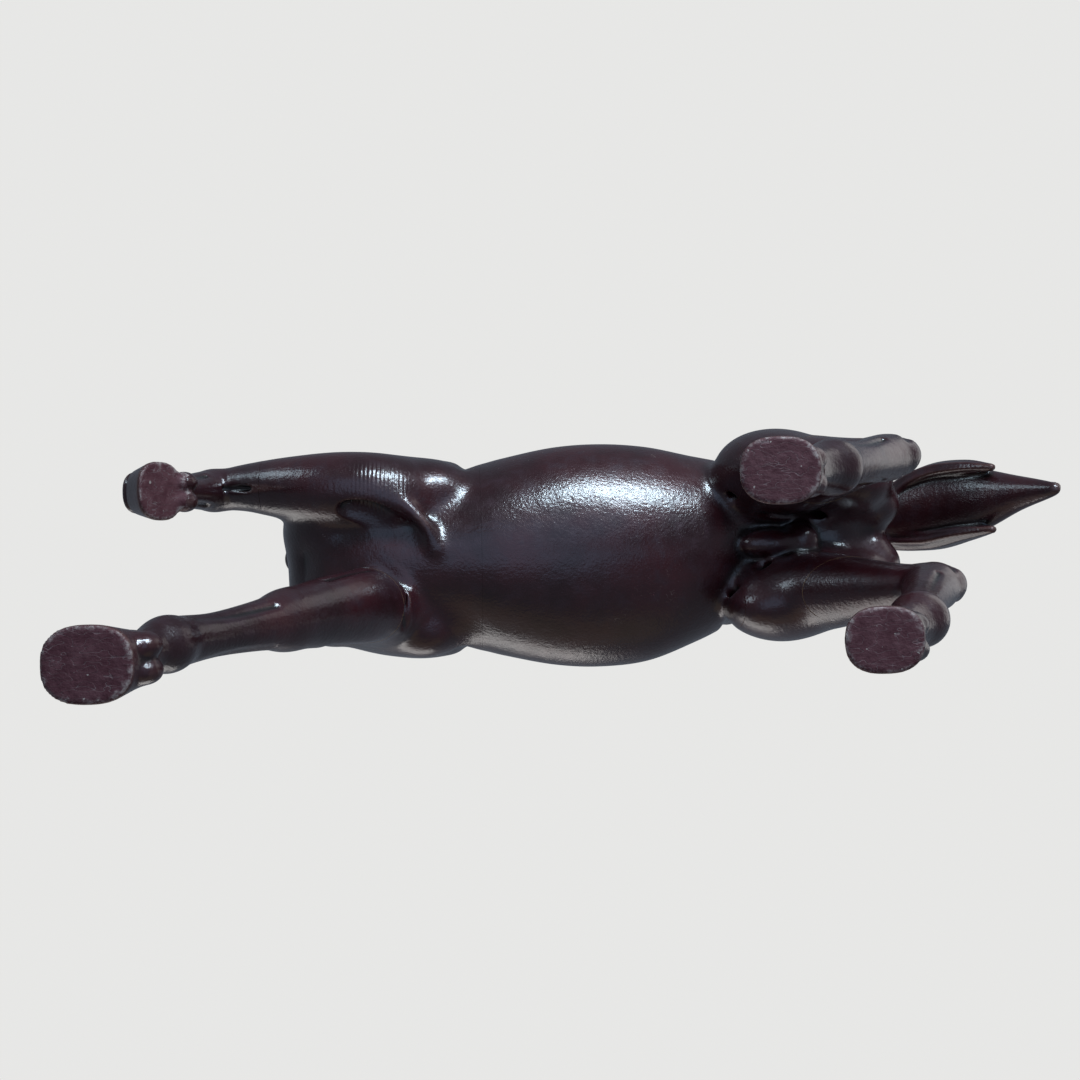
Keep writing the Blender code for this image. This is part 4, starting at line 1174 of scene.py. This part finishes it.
def patina():
    """Red-brown patina under a clear gloss, worn on edges, with painted shade darkening the folds, and scuffed
    on the soles.
    """
    material, tree, shader = new_material("patinated_bronze")
    place = millimetres(tree)
    edge = attribute(tree, "edge")
    sole = attribute(tree, "sole")
    rim = attribute(tree, "rim")

    cloud = noise(tree, place, 0.045, 3.0)
    blotch = noise(tree, place, 0.28, 4.0, 0.6)
    grain = noise(tree, place, 1.5, 3.0, 0.6)
    brown = mixed(tree, between(tree, cloud, 0.36, 0.64), (0.024, 0.0046, 0.0070), (0.050, 0.0074, 0.0110))
    brown = mixed(tree, between(tree, blotch, 0.45, 0.75), brown, (0.038, 0.011, 0.017))
    # Painted shade: the base colour is darkened towards near black in hollows and creases, where shade falls.
    hollow = times(tree, between(tree, edge, -0.10, -0.75), 0.85)
    brown = mixed(tree, hollow, brown, (0.010, 0.0065, 0.0060))
    worn_by = maths(tree, "ADD", edge, times(tree, blotch, 0.8))
    worn = times(tree, between(tree, worn_by, 1.15, 1.75), 0.55)
    brown = mixed(tree, worn, brown, (0.15, 0.070, 0.058))
    patches = between(tree, noise(tree, place, 0.055, 2.0), 0.60, 0.68)
    scratch = times(tree, thin_lines(tree, place, 0.35, 0.008, (1.0, 1.6, 1.0)), patches)
    scratch = times(tree, scratch, between(tree, grain, 0.42, 0.56))
    brown = mixed(tree, times(tree, scratch, 0.45), brown, (0.26, 0.18, 0.16))

    dust = noise(tree, place, 0.42, 5.0, 0.65)
    ground = mixed(tree, between(tree, dust, 0.35, 0.7), (0.078, 0.018, 0.025), (0.125, 0.044, 0.052))
    streak = noise(tree, place, 0.5, 5.0, 0.7, (0.35, 2.6, 1.0))
    streak = times(tree, between(tree, streak, 0.56, 0.72), 0.5)
    ground = mixed(tree, streak, ground, (0.20, 0.13, 0.13))
    pale = maths(tree, "ADD", rim, times(tree, dust, 0.75))
    pale = times(tree, between(tree, pale, 1.20, 1.42), between(tree, grain, 0.34, 0.60))
    ground = mixed(tree, times(tree, pale, 0.85), ground, (0.40, 0.32, 0.30))
    chips = between(tree, noise(tree, place, 0.8, 2.0), 0.70, 0.73)
    ground = mixed(tree, times(tree, chips, 0.8), ground, (0.48, 0.40, 0.36))
    lines = thin_lines(tree, place, 0.28, 0.010, (1.0, 2.4, 1.0))
    ground = mixed(tree, times(tree, lines, 0.35), ground, (0.30, 0.22, 0.22))
    feed(tree, shader, {"Base Color": mixed(tree, sole, brown, ground)})

    dull = stretched(tree, blotch, 0.3, 0.75, 0.30, 0.46)
    rough = node(tree, "Mix", {0: sole, 2: dull, 3: 0.72}).outputs[0]
    feed(tree, shader, {"Roughness": rough, "Metallic": 0.30, "IOR": 1.5})
    bare = maths(tree, "ADD", sole, times(tree, worn, 0.9), clamp=True)
    coated = maths(tree, "SUBTRACT", 1.0, bare)
    feed(tree, shader, {"Coat Weight": coated, "Coat Roughness": 0.12, "Coat IOR": 1.5})

    speckle = times(tree, noise(tree, place, 1.35, 3.0, 0.6), 0.095)
    orange_peel = times(tree, noise(tree, place, 0.32, 2.0, 0.5), 0.085)
    brushed = noise(tree, place, 1.0, 4.0, 0.6, (0.05, 1.9, 1.9))
    brushed = times(tree, brushed, times(tree, between(tree, cloud, 0.42, 0.60), 0.030))
    wave = {"Vector": place, "Scale": 0.34, "Distortion": 0.5}
    comb = node(tree, "TexWave", wave, bands_direction="X").outputs[1]
    comb = times(tree, times(tree, comb, 0.05), near_place(tree, place, (54, 17, 84), 9.0))
    height = maths(tree, "ADD", maths(tree, "ADD", speckle, orange_peel), maths(tree, "ADD", brushed, comb))
    scars = times(tree, times(tree, dust, sole), 0.22)
    height = maths(tree, "ADD", height, scars)
    height = maths(tree, "SUBTRACT", height, times(tree, lines, times(tree, sole, 0.05)))
    normal = relief(tree, height)
    feed(tree, shader, {"Normal": normal, "Coat Normal": normal})
    return material


def bare_bronze():
    """Turned and filed bronze that the patina never reached."""
    material, tree, shader = new_material("bare_bronze")
    place = millimetres(tree)
    stain = noise(tree, place, 0.25, 4.0, 0.6)
    fine = noise(tree, place, 1.2, 4.0, 0.6, (0.15, 2.5, 2.5))
    colour = mixed(tree, between(tree, stain, 0.35, 0.7), (0.46, 0.27, 0.12), (0.27, 0.14, 0.065))
    colour = mixed(tree, times(tree, between(tree, fine, 0.5, 0.7), 0.35), colour, (0.60, 0.40, 0.20))
    rough = stretched(tree, fine, 0.3, 0.7, 0.26, 0.48)
    normal = relief(tree, times(tree, fine, 0.05))
    feed(tree, shader, {"Base Color": colour, "Roughness": rough, "Metallic": 1.0, "Normal": normal})
    return material


def floor_material():
    """A pale floor that is only seen from above, and fades into the background."""
    material, tree, shader = new_material("studio_floor")
    feed(tree, shader, {"Base Color": (0.80, 0.80, 0.79, 1), "Roughness": 0.7})
    unseen = node(tree, "BsdfTransparent").outputs[0]
    shape = node(tree, "NewGeometry")
    away = node(tree, "VectorMath", {0: shape.outputs["Position"]}, operation="LENGTH").outputs["Value"]
    gone = maths(tree, "MAXIMUM", shape.outputs["Backfacing"], between(tree, away, *FLOOR_FADE))
    one_sided = node(tree, "MixShader", {0: gone, 1: shader.outputs[0], 2: unseen}).outputs[0]
    feed(tree, tree.nodes["Material Output"], {"Surface": one_sided})
    return material


# ---- stage, lights and camera ----
# In metres: the floor's half size, how far it lies under the soles, and where it fades out.
FLOOR_HALF = 3.0
FLOOR_DROP = 0.0001
FLOOR_FADE = (0.14, 0.62)
# The camera: its place in the sculptor's frame, its turn and roll in degrees, and its lens in millimetres.
CAMERA_PLACE = (35.5, 4.1, -182.0)
CAMERA_TURN = 4.0
CAMERA_ROLL = 1.0
CAMERA_LENS = 38.33


def floor():
    """The studio floor that the statuette stands on."""
    corners = [(x * FLOOR_HALF, y * FLOOR_HALF, 0) for x, y in ((-1, -1), (1, -1), (1, 1), (-1, 1))]
    mesh = bpy.data.meshes.new("studio_floor")
    mesh.from_pydata(corners, [], [(0, 1, 2, 3)])
    mesh.materials.append(floor_material())
    obj = placed("studio_floor", mesh)
    obj.location.z = -FLOOR_DROP
    obj.visible_shadow = False
    obj.visible_diffuse = False
    obj.visible_glossy = False


def soft_box(name, place, target, width, height, power, colour, in_gloss):
    """A rectangular light that faces a target, in metres, and that the gloss may mirror."""
    lamp = bpy.data.lights.new(name, "AREA")
    lamp.shape = "RECTANGLE"
    lamp.size = width
    lamp.size_y = height
    lamp.energy = power
    lamp.color = colour
    obj = placed(name, lamp)
    obj.location = place
    obj.rotation_euler = (Vector(target) - Vector(place)).to_track_quat("-Z", "Y").to_euler()
    obj.visible_camera = False
    obj.visible_glossy = in_gloss


def studio_world():
    """A pale background, dimmer where the gloss reflects it."""
    world = bpy.data.worlds.new("studio")
    world.use_nodes = True
    tree = world.node_tree
    seen = node(tree, "LightPath").outputs["Is Camera Ray"]
    pale = node(tree, "Background", {"Color": (0.80, 0.80, 0.79, 1), "Strength": 1.0}).outputs[0]
    dim = node(tree, "Background", {"Color": (0.68, 0.78, 0.95, 1), "Strength": 0.16}).outputs[0]
    both = node(tree, "MixShader", {0: seen, 1: dim, 2: pale}).outputs[0]
    feed(tree, tree.nodes["World Output"], {"Surface": both})
    bpy.context.scene.world = world


def lights():
    """A cool window over the left flank, and soft boxes for the other sides.

    Each has its place from the statuette's centre, its size in metres, its watts, its colour, and
    whether the gloss mirrors it: the overhead light would draw a white rim round the view from below.
    """
    low, high = (np.array(corner) for corner in CAD_BOX)
    centre = 0.5 * (low + high)
    cool, neutral, warm, blue = (0.68, 0.88, 1.0), (1.0, 0.98, 0.95), (1.0, 0.66, 0.30), (0.45, 0.68, 1.0)
    rows = [
        ("window", (-0.25, 0.60, -0.34), 0.42, 0.12, 7.0, cool, True),
        ("window_side", (0.50, 0.42, -0.10), 0.16, 0.20, 0.5, cool, True),
        ("room", (0.0, 0.25, -1.00), 1.30, 1.00, 2.2, blue, True),
        ("overhead", (0.05, -0.05, 0.85), 1.30, 1.10, 10.0, neutral, False),
        ("right_side", (0.30, -0.95, 0.50), 1.00, 0.50, 2.4, neutral, True),
        ("rear", (-0.95, 0.35, 0.50), 1.10, 0.60, 1.1, neutral, True),
        ("table_glow", (0.0, -0.60, -0.16), 0.90, 0.40, 0.16, warm, True),
    ]
    for name, offset, width, height, power, colour, in_gloss in rows:
        soft_box(name, tuple(centre + offset), tuple(centre), width, height, power, colour, in_gloss)


def camera():
    """The viewing angle from under the belly, with the horse's left side up."""
    turn, roll = math.radians(CAMERA_TURN), math.radians(CAMERA_ROLL)
    view = Vector((-math.sin(turn), 0, math.cos(turn)))
    across = Vector((-1, 0, 0)) - view * Vector((-1, 0, 0)).dot(view)
    across.normalize()
    up = Vector((0, 1, 0))
    right = across * math.cos(roll) - up * math.sin(roll)
    top = across * math.sin(roll) + up * math.cos(roll)
    data = bpy.data.cameras.new("camera")
    data.sensor_width = 36.0
    data.lens = CAMERA_LENS
    data.clip_start = 0.001
    obj = placed("camera", data)
    obj.matrix_world = Matrix((right, top, -view)).transposed().to_4x4()
    obj.location = Vector((np.array(CAMERA_PLACE) + SHIFT) * MM)
    bpy.context.scene.camera = obj


# ---- the scene ----
def build():
    skin, bare = patina(), bare_bronze()
    for name, (region, cuts) in casting_regions().items():
        cast(name, region, cuts, [skin, bare])
    for name in (*DOWELS, *SLEEVES):
        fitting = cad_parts[name].data
        fitting.materials.clear()
        fitting.materials.append(bare)
    bpy.context.scene.view_settings.view_transform = "Standard"
    floor()
    studio_world()
    lights()
    camera()


build()
